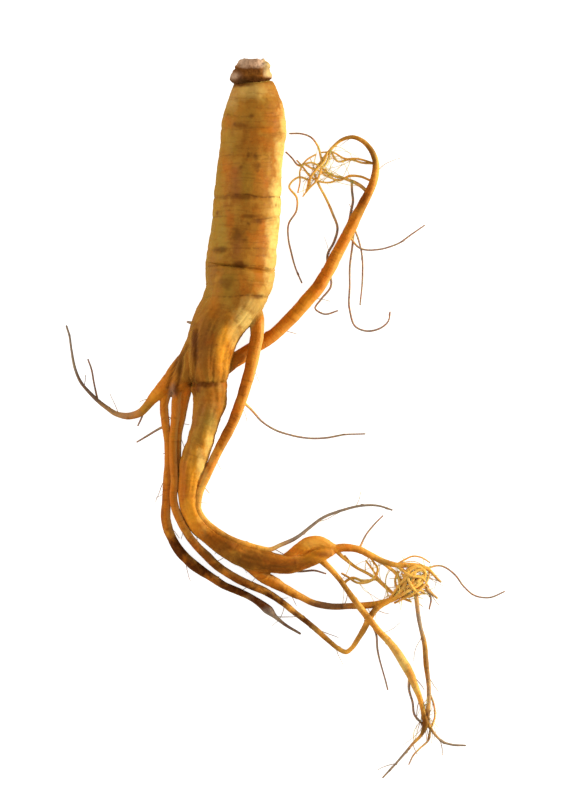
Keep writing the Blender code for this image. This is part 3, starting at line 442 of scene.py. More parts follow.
BUNDLE_OUTER = [
    (-36.2, 16.6, 6.4, 2.2), (-38.6, 11.8, 5.4, 1.9), (-40.1, 7.0, 4.6, 1.6), (-39.9, 0.3, 3.8, 1.4),
    (-39.2, -6.3, 3.2, 1.35), (-39.0, -13.0, 2.8, 1.3), (-39.3, -19.7, 2.5, 1.4),
    (-39.8, -26.3, 2.3, 1.55), (-39.7, -32.3, 2.2, 1.7), (-38.0, -38.4, 2.2, 1.7),
    (-35.0, -43.6, 2.2, 1.7), (-31.2, -47.4, 2.2, 1.75), (-26.4, -50.9, 2.1, 1.55),
    (-20.6, -54.7, 1.9, 1.3), (-14.8, -57.2, 1.8, 1.2), (-11.0, -59.2, 1.8, 1.15),
    (-7.9, -61.4, 1.9, 1.3), (-5.5, -63.2, 1.9, 1.5), (-3.4, -65.2, 1.5, 0.85), (0.0, -68.0, 1.1, 0.55),
    (5.0, -71.0, 0.8, 0.4),
]

BUNDLE_MIDDLE = [
    (-33.8, 16.6, 7.0, 2.2), (-35.5, 11.7, 6.3, 1.8), (-36.2, 7.0, 5.7, 1.55), (-36.9, 0.3, 5.1, 1.4),
    (-37.3, -6.3, 4.7, 1.35), (-37.2, -13.0, 4.5, 1.3), (-37.0, -19.7, 4.4, 1.3),
    (-37.0, -26.3, 4.4, 1.3), (-35.6, -31.6, 4.4, 1.3), (-33.1, -36.6, 4.4, 1.3),
    (-29.9, -40.9, 4.5, 1.35), (-26.1, -44.9, 4.4, 1.4), (-21.5, -48.9, 4.1, 1.4),
    (-16.3, -52.2, 3.7, 1.4), (-11.0, -55.0, 3.2, 1.35), (-5.4, -57.8, 2.7, 1.2),
    (0.0, -61.2, 2.2, 1.05), (5.3, -65.4, 1.8, 0.95), (10.4, -69.8, 1.5, 0.9), (15.3, -74.0, 1.3, 0.85),
    (18.4, -76.4, 1.2, 0.8), (20.4, -77.1, 1.2, 0.8), (22.0, -75.9, 1.3, 0.75), (24.0, -73.0, 1.6, 0.85),
    (26.3, -69.3, 2.0, 1.0), (28.2, -65.8, 2.3, 1.1), (30.2, -63.0, 2.4, 1.0), (33.2, -60.9, 2.4, 0.85),
    (37.2, -59.0, 2.2, 0.7),
]

BUNDLE_INNER = [
    (-31.0, 16.4, 6.6, 2.2), (-32.6, 11.0, 5.6, 1.8), (-33.6, 6.3, 4.6, 1.5), (-34.4, 1.0, 3.7, 1.35),
    (-35.4, -4.7, 2.9, 1.3), (-35.8, -10.3, 2.4, 1.25), (-35.5, -16.3, 2.1, 1.2),
    (-34.9, -23.0, 2.0, 1.2), (-34.0, -29.0, 2.0, 1.2), (-31.6, -34.6, 1.9, 1.2),
    (-27.6, -38.6, 1.8, 1.2), (-22.6, -41.3, 1.9, 1.2), (-17.6, -43.6, 2.2, 1.2),
    (-12.8, -45.4, 2.6, 1.1),
]

# It leaves the leg on its underside, past the bend, with a knobbly stretch
LOWER_LATERAL = [
    (-18.0, -45.6, 3.2, 1.5), (-14.2, -47.4, 3.1, 1.5), (-10.8, -49.5, 3.0, 1.7), (-7.7, -51.7, 3.0, 2.0),
    (-4.1, -53.7, 2.9, 2.0), (-0.4, -55.9, 2.6, 1.6), (5.0, -58.6, 2.2, 1.2), (10.0, -60.9, 1.9, 1.1),
    (15.7, -61.9, 1.7, 1.1), (21.7, -61.8, 1.6, 1.1), (27.7, -61.5, 1.7, 1.05), (33.0, -60.4, 1.8, 0.95),
    (37.0, -59.0, 1.9, 0.9), (40.3, -57.0, 1.9, 0.8), (42.7, -54.0, 1.8, 0.7),
]

# It leaves the lower right of the taproot and crosses over the right lateral root
CROSSING_LATERAL = [
    (-14.6, 42.0, 11.2, 4.2), (-11.2, 37.6, 10.6, 3.3), (-9.6, 33.7, 10.0, 2.6), (-9.5, 28.7, 9.3, 2.3),
    (-10.4, 23.7, 8.9, 2.2), (-11.7, 17.0, 8.4, 2.1), (-13.1, 12.0, 7.9, 2.0), (-14.5, 7.0, 7.5, 1.9),
    (-17.0, 0.5, 6.9, 1.7), (-20.3, -6.0, 6.4, 1.65), (-23.7, -12.8, 6.1, 1.55), (-26.8, -19.4, 5.9, 1.45),
    (-28.6, -24.8, 5.8, 1.3), (-29.0, -29.0, 5.8, 1.25), (-27.3, -32.8, 5.8, 1.25),
    (-24.0, -35.8, 5.9, 1.2), (-19.7, -38.5, 5.9, 1.15), (-14.3, -40.8, 5.7, 1.1),
    (-9.0, -42.5, 5.3, 1.0), (-5.0, -43.0, 4.7, 0.85), (-1.4, -41.4, 3.6, 0.72), (3.8, -38.8, 2.5, 0.64),
    (8.7, -35.3, 1.8, 0.56), (12.9, -32.3, 1.4, 0.5), (18.6, -29.9, 1.2, 0.46), (25.0, -28.3, 1.1, 0.42),
    (31.7, -28.4, 1.0, 0.37), (35.7, -29.7, 0.9, 0.32),
]

RIGHT_LATERAL = [
    (-21.0, 17.4, 5.9, 2.8), (-15.7, 21.0, 4.5, 2.5), (-10.8, 24.3, 3.6, 2.2), (-6.2, 27.3, 3.1, 2.2),
    (-0.9, 31.5, 2.8, 2.2), (5.8, 38.5, 2.6, 2.2), (10.6, 43.9, 2.5, 2.2), (14.2, 49.9, 2.4, 2.1),
    (17.6, 55.8, 2.4, 2.0), (20.6, 61.7, 2.4, 1.9), (23.1, 66.8, 2.3, 1.85), (25.8, 71.7, 2.2, 1.65),
    (28.5, 76.7, 2.1, 1.45), (30.1, 81.9, 1.9, 1.25), (30.0, 87.0, 1.8, 1.05), (28.4, 90.7, 1.7, 0.9),
    (25.8, 93.5, 1.6, 0.8), (22.3, 94.8, 1.5, 0.7), (19.0, 93.9, 1.4, 0.62), (16.5, 91.8, 1.4, 0.56),
    (13.6, 88.6, 1.3, 0.5), (10.6, 84.6, 1.2, 0.45), (8.2, 80.4, 1.1, 0.4), (7.2, 76.6, 1.0, 0.34),
]

# From the knuckle at the end of the leg down to the knot
LONG_ROOTLET = [
    (10.6, -45.0, 3.5, 1.5), (13.3, -47.5, 3.0, 1.15), (15.9, -50.0, 2.7, 1.0), (18.2, -52.6, 2.7, 0.95),
    (20.4, -55.8, 3.0, 0.9), (22.8, -59.2, 3.4, 1.0), (25.1, -62.4, 3.5, 1.1), (27.5, -65.7, 3.2, 1.1),
    (30.5, -69.2, 2.5, 1.0), (34.0, -73.0, 2.0, 1.15), (37.3, -77.0, 1.8, 1.4), (40.0, -81.0, 1.8, 1.55),
    (42.1, -85.0, 1.7, 1.4), (43.7, -89.0, 1.5, 1.1), (45.2, -93.0, 1.3, 0.9), (46.3, -97.0, 1.3, 0.9),
    (47.0, -101.0, 1.3, 1.1), (46.0, -104.3, 1.0, 0.62), (42.6, -108.1, 0.9, 0.5),
    (39.2, -112.0, 0.8, 0.42), (36.0, -115.6, 0.7, 0.36), (32.7, -119.1, 0.7, 0.3),
]

DROP_ROOTLET = [
    (43.0, -55.2, 2.0, 0.85), (43.8, -59.0, 1.8, 0.8), (44.3, -63.7, 1.6, 0.75), (45.3, -69.7, 1.4, 0.7),
    (46.7, -75.7, 1.4, 0.85), (47.4, -81.0, 1.4, 0.9), (47.9, -86.3, 1.3, 0.78), (47.9, -91.3, 1.3, 0.72),
    (47.7, -96.3, 1.3, 0.8), (47.6, -100.6, 1.2, 0.8), (49.4, -103.9, 1.0, 0.5),
    (52.3, -106.9, 0.8, 0.44), (55.9, -108.1, 0.7, 0.38), (60.3, -108.4, 0.6, 0.3),
]

# Rootlets of the loose knot at the right, each over or under its neighbours
KNOT_ROOTLETS = [
    [(35.7, -60.0, 2.3, 0.6), (38.0, -57.7, 3.0, 0.75), (39.7, -55.0, 3.4, 0.8), (40.3, -52.0, 3.4, 0.8),
     (41.7, -49.7, 3.2, 0.75), (44.3, -48.7, 2.8, 0.7), (46.7, -50.0, 2.5, 0.65),
     (46.3, -52.7, 2.5, 0.65), (44.0, -55.0, 3.2, 0.6), (41.0, -56.7, 4.2, 0.5), (38.0, -58.6, 4.2, 0.4)],
    [(33.6, -60.6, 1.6, 0.6), (36.8, -57.9, 1.2, 0.7), (39.2, -54.8, 1.1, 0.75), (42.4, -53.2, 1.1, 0.75),
     (45.6, -54.4, 1.1, 0.65), (48.2, -57.0, 1.0, 0.5), (50.8, -59.1, 0.9, 0.36)],
    [(31.6, -46.4, 2.0, 0.55), (34.3, -48.7, 2.4, 0.55), (37.0, -51.0, 2.2, 0.6), (38.2, -53.6, 1.9, 0.6),
     (37.8, -56.3, 1.9, 0.55), (39.3, -59.0, 1.4, 0.45), (42.0, -60.3, 0.9, 0.35)],
    [(17.4, -43.6, 2.3, 0.7), (20.2, -46.3, 1.6, 0.6), (23.3, -48.6, 1.2, 0.52), (27.0, -50.6, 0.9, 0.5),
     (30.4, -52.8, 0.8, 0.48), (33.2, -55.2, 0.9, 0.46), (35.6, -57.3, 1.3, 0.44),
     (38.2, -58.6, 1.8, 0.4)],
    [(19.4, -54.2, 2.4, 0.5), (22.4, -52.4, 1.6, 0.45), (26.2, -53.4, 1.1, 0.45),
     (29.4, -52.6, 1.9, 0.42), (31.0, -49.4, 2.2, 0.38), (29.2, -46.6, 1.9, 0.36),
     (27.6, -44.4, 2.0, 0.4)],
]

# Hairs, each from a root that carries it to its free tip
HAIRS = [
    # Up and over the top of the right lateral root's loop
    [(12.2, 87.2, 1.3, 0.4), (11.0, 91.6, 1.2, 0.36), (8.4, 95.0, 1.0, 0.33), (5.6, 96.0, 0.8, 0.3),
     (1.6, 96.0, 0.7, 0.26)],
    [(15.6, 91.0, 1.4, 0.4), (12.6, 84.8, 2.2, 0.38), (8.4, 86.4, 2.3, 0.36), (4.6, 85.4, 1.4, 0.34),
     (2.4, 87.8, 0.9, 0.3), (0.4, 89.8, 0.7, 0.26)],
    [(11.2, 85.6, 1.2, 0.38), (15.0, 82.4, 0.9, 0.4), (20.0, 81.0, 0.9, 0.5), (23.6, 79.6, 1.0, 0.6),
     (26.4, 77.6, 1.5, 0.62), (27.9, 75.6, 2.0, 0.6)],
    [(15.2, 90.2, 1.4, 0.38), (17.6, 86.6, 1.0, 0.36), (22.0, 87.2, 0.9, 0.36), (26.0, 86.2, 1.3, 0.38),
     (29.6, 86.0, 1.8, 0.4)],
    # Down the inside of the right lateral root, under it and out again
    [(9.6, 83.0, 1.2, 0.42), (11.2, 79.2, 0.9, 0.42), (13.4, 74.8, 0.8, 0.42), (15.8, 69.4, 0.8, 0.42),
     (17.5, 64.2, 0.8, 0.42), (16.4, 60.0, 0.7, 0.42), (14.2, 55.8, 0.6, 0.4), (14.4, 50.4, 0.5, 0.38),
     (15.2, 45.0, 0.5, 0.36), (12.0, 40.6, 0.5, 0.34), (10.2, 37.6, 0.5, 0.32), (13.0, 35.6, 0.5, 0.3),
     (17.6, 36.8, 0.5, 0.26)],
    # Down between the taproot and the loop
    [(8.2, 80.4, 1.1, 0.38), (4.6, 81.4, 0.9, 0.36), (1.4, 78.4, 0.7, 0.34), (4.0, 74.6, 0.7, 0.34),
     (3.8, 70.6, 0.6, 0.34), (1.2, 66.0, 0.6, 0.32), (1.1, 61.0, 0.6, 0.32), (2.2, 55.4, 0.6, 0.3),
     (3.8, 50.4, 0.6, 0.28), (5.6, 46.2, 0.6, 0.26)],
    # From the right of the loop down to a hook
    [(23.2, 67.6, 2.2, 0.5), (22.6, 60.4, 1.3, 0.38), (21.9, 53.6, 0.8, 0.36), (21.7, 45.4, 0.7, 0.34),
     (21.7, 37.0, 0.6, 0.34), (23.2, 31.6, 0.6, 0.34), (27.4, 29.9, 0.6, 0.34), (31.8, 31.0, 0.6, 0.32),
     (34.6, 33.6, 0.6, 0.3), (35.1, 36.4, 0.6, 0.26)],
    [(22.2, 66.4, 2.2, 0.46), (24.6, 60.4, 1.2, 0.34), (25.7, 54.0, 0.7, 0.3), (25.7, 46.0, 0.6, 0.3),
     (25.1, 38.8, 0.6, 0.26)],
    [(20.6, 63.0, 2.2, 0.44), (25.4, 57.4, 1.3, 0.32), (31.0, 57.2, 0.8, 0.3), (37.0, 59.0, 0.7, 0.28),
     (42.2, 62.4, 0.6, 0.26), (46.6, 65.3, 0.6, 0.24)],
    # Off the crossing lateral root
    [(-14.2, 6.6, 7.4, 0.5), (-11.0, 3.5, 5.6, 0.42), (-7.6, -0.2, 3.4, 0.38), (-3.2, -2.9, 1.9, 0.36),
     (1.8, -4.5, 1.1, 0.35), (7.0, -5.5, 0.7, 0.34), (13.4, -5.7, 0.6, 0.32), (19.8, -4.6, 0.6, 0.3),
     (26.7, -4.3, 0.6, 0.26)],
    # Off the left lateral root and the bundle
    [(-62.6, 7.2, 1.5, 0.36), (-63.8, 13.0, 1.2, 0.32), (-64.7, 17.5, 0.9, 0.3),
     (-65.8, 20.5, 0.8, 0.26)],
    [(-46.8, 4.8, 3.5, 0.42), (-47.6, 1.8, 2.2, 0.34), (-49.1, -1.5, 1.2, 0.28)],
    [(-39.6, -1.4, 3.6, 0.46), (-42.0, -2.6, 2.6, 0.4), (-45.6, -4.8, 1.4, 0.35),
     (-49.4, -7.0, 0.8, 0.28)],
    [(-29.6, 32.2, 9.2, 0.8), (-32.4, 33.0, 9.0, 0.4)],
    # Off the leg and its tip
    [(0.6, -49.6, 2.4, 0.5), (5.0, -50.3, 1.4, 0.38), (9.8, -50.0, 0.9, 0.34), (13.6, -51.0, 0.7, 0.28)],
    [(24.8, -42.6, 2.3, 0.42), (27.0, -38.2, 1.5, 0.34), (29.6, -34.8, 1.0, 0.3),
     (32.7, -31.7, 0.8, 0.26)],
    [(47.2, -49.2, 2.0, 0.42), (51.7, -48.4, 1.3, 0.34), (56.6, -51.4, 0.8, 0.32),
     (60.0, -55.6, 0.7, 0.3), (63.6, -58.5, 0.6, 0.3), (68.3, -59.0, 0.6, 0.28),
     (73.3, -57.0, 0.6, 0.25)],
    # Off the long rootlets
    [(28.6, -66.9, 2.8, 0.46), (30.5, -71.3, 1.6, 0.38), (31.1, -76.3, 0.9, 0.34),
     (32.1, -81.3, 0.7, 0.3), (34.3, -89.7, 0.6, 0.26)],
    [(41.8, -84.6, 1.6, 0.6), (41.4, -89.6, 1.1, 0.44), (42.4, -94.0, 0.9, 0.4), (43.2, -98.2, 0.9, 0.4),
     (46.4, -101.6, 1.1, 0.44)],
    [(47.8, -90.0, 1.3, 0.5), (49.6, -94.4, 0.9, 0.38), (49.9, -99.0, 0.8, 0.38),
     (48.4, -103.0, 0.9, 0.42), (47.9, -106.6, 0.9, 0.36), (44.8, -109.6, 1.0, 0.34),
     (42.9, -111.6, 0.6, 0.3), (41.4, -114.7, 0.6, 0.26)],
    [(47.6, -56.2, 1.1, 0.46), (48.7, -59.4, 0.9, 0.34), (48.2, -62.8, 0.8, 0.26)],
    # Beside the right lateral root, on the inside of its loop
    [(22.3, 80.2, 1.0, 0.44), (22.3, 77.0, 0.9, 0.42), (22.6, 73.4, 0.9, 0.42), (21.9, 69.6, 1.2, 0.44),
     (21.4, 65.8, 1.7, 0.46)],
]

# Finer strands of the tangle inside the right lateral root's loop, and of the loose knot
TANGLE_STRANDS = [
    [(29.6, 86.0, 1.8, 0.36), (24.0, 87.7, 1.6, 0.34), (20.0, 87.7, 1.4, 0.34), (16.0, 89.7, 1.5, 0.32),
     (12.3, 89.7, 1.2, 0.28)],
    [(4.0, 87.0, 0.8, 0.26), (6.0, 84.7, 1.2, 0.32), (8.3, 82.0, 1.6, 0.38), (11.0, 80.3, 1.6, 0.36),
     (15.0, 79.7, 1.2, 0.3), (17.7, 80.7, 0.8, 0.24)],
    [(4.3, 76.3, 0.7, 0.24), (5.0, 79.7, 1.0, 0.28), (5.0, 83.7, 1.3, 0.3), (7.0, 87.0, 1.7, 0.3),
     (10.3, 89.0, 1.5, 0.28)],
    [(11.7, 89.7, 1.3, 0.3), (12.3, 85.3, 1.9, 0.36), (11.0, 81.0, 2.1, 0.36), (8.0, 77.7, 1.2, 0.3),
     (6.0, 75.0, 0.8, 0.24)],
    [(16.7, 80.3, 0.9, 0.26), (13.3, 83.0, 1.7, 0.32), (9.0, 84.3, 2.2, 0.34), (6.0, 86.0, 1.4, 0.26)],
    [(14.2, 89.6, 1.6, 0.36), (13.0, 86.6, 2.3, 0.42), (10.6, 84.0, 2.6, 0.42), (8.6, 81.0, 2.0, 0.36),
     (8.2, 77.6, 1.2, 0.28)],
    [(29.1, 80.0, 1.6, 0.36), (25.0, 81.7, 1.7, 0.44), (21.7, 81.9, 1.5, 0.46), (18.4, 80.4, 1.2, 0.36),
     (14.6, 81.4, 1.4, 0.3), (11.4, 83.4, 1.8, 0.28)],
]
KNOT_STRANDS = [
    [(47.7, -49.0, 2.2, 0.42), (43.3, -50.3, 3.6, 0.46), (39.7, -53.0, 4.2, 0.5), (37.0, -56.3, 3.0, 0.46),
     (35.0, -59.7, 2.0, 0.4)],
    [(46.3, -55.7, 1.8, 0.4), (43.0, -53.0, 2.6, 0.46), (40.0, -50.0, 2.8, 0.44), (37.0, -48.3, 2.2, 0.36)],
    [(37.7, -50.3, 2.2, 0.36), (36.7, -53.7, 1.4, 0.4), (38.0, -57.0, 1.4, 0.42), (41.0, -58.7, 2.4, 0.4),
     (44.0, -57.7, 2.0, 0.34)],
    [(48.3, -50.3, 1.8, 0.3), (47.3, -53.7, 2.4, 0.36), (44.7, -56.7, 3.4, 0.4), (40.7, -58.7, 3.2, 0.4),
     (36.7, -60.7, 1.8, 0.36)],
    [(37.6, -47.6, 1.8, 0.26), (40.0, -46.3, 1.6, 0.3), (42.3, -45.2, 1.4, 0.3), (45.3, -45.5, 1.4, 0.28),
     (48.3, -47.2, 1.4, 0.24)],
    [(20.0, -45.0, 2.0, 0.3), (22.0, -47.3, 1.6, 0.28), (24.3, -49.0, 1.2, 0.24), (27.6, -50.6, 1.0, 0.22)],
    [(27.0, -46.7, 1.4, 0.28), (29.0, -49.3, 1.8, 0.32), (31.0, -52.3, 1.6, 0.34), (33.7, -55.0, 1.4, 0.34),
     (36.0, -57.3, 1.8, 0.32), (38.3, -59.0, 2.0, 0.3)],
    [(19.0, -50.9, 2.6, 0.36), (21.0, -52.0, 2.0, 0.38), (24.0, -53.9, 1.4, 0.42), (27.0, -54.0, 1.2, 0.42),
     (30.3, -52.6, 1.0, 0.36)],
    [(42.0, -49.0, 2.6, 0.44), (41.0, -52.0, 4.2, 0.5), (42.2, -55.0, 4.6, 0.5), (44.8, -58.0, 2.6, 0.4)],
    [(38.6, -49.4, 3.0, 0.36), (42.0, -51.6, 4.6, 0.46), (45.6, -52.2, 3.6, 0.4), (48.0, -55.4, 1.8, 0.3)],
    [(46.8, -51.0, 2.4, 0.45), (44.0, -53.6, 3.8, 0.6), (41.0, -55.4, 3.6, 0.6), (38.4, -57.6, 2.2, 0.5)],
    [(39.2, -51.2, 3.2, 0.45), (41.6, -53.8, 2.8, 0.6), (44.4, -55.6, 2.2, 0.55), (46.6, -57.6, 1.4, 0.4)],
    [(43.6, -48.6, 2.8, 0.45), (43.0, -52.0, 3.4, 0.6), (41.4, -56.0, 3.0, 0.6), (39.6, -59.4, 1.8, 0.45)],
    [(38.0, -53.0, 2.0, 0.45), (41.0, -53.0, 1.8, 0.6), (44.0, -52.2, 1.8, 0.6), (47.4, -52.6, 1.4, 0.45)],
]

# How far along a hair turns dry, as a share, where that isn't its start
HAIR_DRY_SHARES = {0: 0.35, 1: 0.7, 2: 1.0, 3: 1.0, 4: 0.2, 5: 0.3, 19: 1.0, 22: 1.0}
DRYING_SPEED = 5.0

# Zones strung with fine hairs: least and greatest x and y, how many, their radii and lengths
HAIR_ZONES = {
    "upper_tangle_hairs": ((2.5, 26.0, 74.5, 93.0), 34, (0.07, 0.12), (5.0, 16.0)),
    "right_knot_hairs": ((35.5, 49.5, -61.5, -46.0), 90, (0.1, 0.22), (4.0, 12.0)),
    "middle_knot_hairs": ((18.0, 37.0, -64.0, -44.0), 22, (0.08, 0.16), (5.0, 12.0)),
    "lower_knot_hairs": ((43.0, 50.5, -108.0, -90.0), 20, (0.08, 0.16), (4.0, 12.0)),
}

# Tries for each hair that is strung, how it thins, and how clear of the part's box it stays
TRIES_PER_HAIR = 40
STRUNG_TAPER = 0.35
EDGE_MARGIN = 1.0

# Fine hairs off the slim roots: the first one's place, the gaps between them and how clear of the
# tip they stay, then the length, drop and thinning of each step along one
SIDE_HAIR_FIRST = (14.0, 24.0)
SIDE_HAIR_GAPS = (8.0, 20.0)
SIDE_HAIR_MARGIN = 2.0
SIDE_HAIR_STEP = 1.3
SIDE_HAIR_DROP = 0.5
SIDE_HAIR_TAPER = 0.06

# Lumps of the rhizome stub: middle, half sizes along X, Y and Z, and turn about Z in degrees
HEAD_LUMPS = [
    ((-11.4, 114.2, 10.7), (7.2, 2.9, 6.8), 4.0),
    ((-10.9, 116.9, 11.4), (5.9, 2.7, 5.6), -8.0),
    ((-14.6, 115.6, 13.2), (2.6, 2.5, 2.6), 20.0),
    ((-7.4, 115.2, 8.4), (2.9, 2.3, 3.0), -15.0),
    ((-7.6, 117.3, 11.8), (2.9, 2.4, 3.4), 10.0),
]
HEAD_ROUGHNESS = 0.42
HEAD_LUMP_TIGHTNESS = 2.1

# Dents round the rhizome stub: place along Y, depth and half width
HEAD_TIERS = [(113.0, 0.2, 0.5), (116.9, 0.3, 0.5)]
TIER_WAVE = (1.4, 6.0, 2.0)
CRACK_NOISE = (4.2, 4.0, 7.0)
CRACK_DEPTH = 0.07
FLAKE_HEIGHT = 0.3
SPOKE_HEIGHT = 0.16

# The cup that the dead stem left, turned about an axis along Y: (radius, y)
STEM_SCAR_MIDDLE = (-11.0, 11.7)
STEM_SCAR_PROFILE = [
    (0.0, 116.4), (4.3, 116.4), (4.6, 117.6), (4.6, 118.8), (4.35, 119.8), (3.9, 120.25),
    (3.4, 120.1), (2.9, 119.5), (1.6, 119.1), (0.7, 119.35), (0.0, 119.4),
]
STEM_SCAR_STEPS = 48

# Where the stub's colours begin: the scar and the pale cap past it along Y, and the dark band
# below, dark bark with painted shade, with a pale knob and a painted highlight on the right side in it
SCAR_FROM = 118.7
CAP_FROM = 117.25
BAND_TO = 114.9
KNOB_PLACE = (-17.0, 114.5)
KNOB_HALF_SIZES = (1.9, 1.3)
LIT_FROM = (-7.6, 113.9)
LIT_EASE = (2.0, 0.8)


def noise_at(points):
    """Smooth noise, from -1 to 1, at each row of points."""
    return np.array([noise.noise(point) for point in points.tolist()])


def round_root(angle, along, tightness, length, offset):
    """Points on a cylinder, to read noise from that closes round a root."""
    return np.stack([tightness * np.cos(angle) + offset, tightness * np.sin(angle), along / length], 1)


def layered_noise(angle, along, layers):
    """Several noises round a root, each (height, tightness, length, offset), added up."""
    return sum(height * noise_at(round_root(angle, along, *place)) for height, *place in layers)


def limited(value):
    """A value kept between 0 and 1."""
    return np.clip(value, 0.0, 1.0)


def bell(distance, half_width):
    """A smooth bump, 1 at no distance and gone past about twice the half width."""
    return np.exp(-((distance / half_width) ** 2))


def angle_between(angle, other):
    return np.abs((angle - other + math.pi) % math.tau - math.pi)


def part_way_round(angle, middle, span):
    """1 near the middle angle, and gone past about the span to either side of it."""
    return np.exp(-((angle_between(angle, middle) / span) ** 4))


def smooth_route(points, step):
    """A smooth curve through the points, as evenly spaced rows, and how far along each one is."""
    rows = np.array(points, dtype=float)
    chords = np.linalg.norm(np.diff(rows[:, :3], axis=0), axis=1)
    at = np.concatenate([[0.0], np.cumsum(chords)])
    slopes = np.gradient(rows, at, axis=0)
    count = max(3, int(round(at[-1] / step)) + 1)
    places = np.linspace(0.0, at[-1], count)
    span = np.clip(np.searchsorted(at, places, side="right") - 1, 0, len(at) - 2)
    width = (at[span + 1] - at[span])[:, None]
    share = (places[:, None] - at[span][:, None]) / width
    square, cube = share ** 2, share ** 3
    samples = (
        (2 * cube - 3 * square + 1) * rows[span]
        + (cube - 2 * square + share) * width * slopes[span]
        + (3 * square - 2 * cube) * rows[span + 1]
        + (cube - square) * width * slopes[span + 1]
    )
    return samples, places


def natural_route(points, step, seed):
    """A smooth route that strays sideways, swells a little and stays above the ground."""
    samples, places = smooth_route(points, step)
    ease = np.minimum(1.0, np.minimum(places, places[-1] - places) / STRAY_LENGTH)
    for axis, noise_place in enumerate((STRAY_X_PLACE, STRAY_Y_PLACE)):
        spots = [(place / STRAY_LENGTH, seed * STRAY_SEED_SPACING, noise_place) for place in places]
        samples[:, axis] += STRAY * ease * noise_at(np.array(spots))
    spots = [(place / SWELL_LENGTH, seed * SWELL_SEED_SPACING, SWELL_PLACE) for place in places]
    samples[:, 3] *= 1.0 + SWELL_SHARE * noise_at(np.array(spots))
    samples[:, 2] = np.maximum(samples[:, 2], samples[:, 3] + GROUND_GAP)
    return samples


def frames_along(samples):
    """Distances along the samples, and at each one the ways ahead, to the side and up.

    The way ahead is taken over a stretch as long as the root is thick, so that its rings never cross.
    """
    middle = samples[:, :3]
    chords = np.linalg.norm(np.diff(middle, axis=0), axis=1)
    along = np.concatenate([[0.0], np.cumsum(chords)])
    reach = FRAME_REACH * samples[:, 3]
    ahead = np.stack([
        np.interp(along + reach, along, column) - np.interp(along - reach, along, column)
        for column in middle.T
    ], 1)
    ahead /= np.linalg.norm(ahead, axis=1)[:, None]
    side = np.cross((0.0, 0.0, 1.0), ahead)
    side /= np.linalg.norm(side, axis=1)[:, None]
    return along, ahead, side, np.cross(ahead, side)


def slim_rings(draw, length, ringed):
    """Rings across a slim root: place, middle and span round it, slant, half width and strength."""
    rings = []
    place = draw.uniform(0.5, 3.0)
    while place < length:
        span, slant, half_width = draw.uniform(0.9, 2.6), draw.uniform(-0.3, 0.3), draw.uniform(0.14, 0.32)
        middle = draw.uniform(0.0, math.tau)
        strength = ringed * draw.uniform(0.3, 1.0)
        rings.append((place, middle, span, slant, half_width, strength))
        place += draw.uniform(1.0, 4.4)
    return rings


def slim_nodules(draw, length, count):
    """Nodules on a slim root: place, angle round it, size and height."""
    made = []
    for _ in range(count):
        place, middle = draw.uniform(0.0, length), draw.uniform(0.0, math.tau)
        size, height = draw.uniform(0.25, 0.5), draw.uniform(0.1, 0.28)
        made.append((place, middle, size, height))
    return made


def slim_relief(seed, length, nodules=0.0, ringed=1.0):
    """The relief of a slim root: swellings, long wrinkles, rings across and nodules."""
    draw = random.Random(seed)
    rings = slim_rings(draw, length, ringed)
    bumps = slim_nodules(draw, length, int(nodules * length))

    def relief(points, along, angle, radius):
        lift = sum(
            share * radius * noise_at(round_root(angle, along, tightness, wave_length, seed * spacing))
            for share, tightness, wave_length, spacing in SLIM_NOISES
        )
        groove, scar = np.zeros(len(along)), np.zeros(len(along))
        for place, middle, span, slant, half_width, strength in rings:
            near = np.flatnonzero(np.abs(along - place) < SLIM_RING_REACH)
            lean = slant * radius[near] * np.cos(angle[near] - middle)
            across = strength * part_way_round(angle[near], middle, span)
            crease = across * bell(along[near] - place - lean, half_width)
            lift[near] -= SLIM_RING_SHARE * radius[near] * crease
            groove[near] = np.maximum(groove[near], crease)
        for place, middle, size, height in bumps:
            near = np.flatnonzero(np.abs(along - place) < NODULE_REACH)
            sideways = radius[near] * angle_between(angle[near], middle)
            bump = bell(np.hypot(along[near] - place, sideways), size)
            lift[near] += height * bump
            scar[near] = np.maximum(scar[near], NODULE_STAIN * bump)
        return lift, {"groove": groove, "scar": scar}

    return relief


def fine_rings():
    """Thin broken rings between the ring wrinkles: place, depth, half width, middle and span."""
    draw = random.Random(FINE_RING_SEED)
    rings = []
    for number in range(FINE_RING_COUNT):
        place = FINE_RINGS_FROM + FINE_RINGS_LENGTH * (number + draw.random()) / FINE_RING_COUNT
        depth, half_width = draw.uniform(0.02, 0.10), draw.uniform(0.14, 0.30)
        middle, span = draw.uniform(0.0, math.tau), draw.uniform(0.2, 0.9)
        rings.append((place, depth, half_width, middle, span))
    return rings


def lenticels():
    """Short raised dashes across the taproot: place, middle, half length, half height, height."""
    draw = random.Random(LENTICEL_SEED)
    made = []
    for _ in range(LENTICEL_COUNT):
        place, middle = draw.uniform(*LENTICEL_SPAN), draw.uniform(0.0, math.tau)
        half_length, half_height = draw.uniform(0.4, 1.4), draw.uniform(0.16, 0.3)
        made.append((place, middle, half_length, half_height, draw.uniform(0.06, 0.18)))
    return made


FINE_RINGS = fine_rings()
LENTICELS = lenticels()


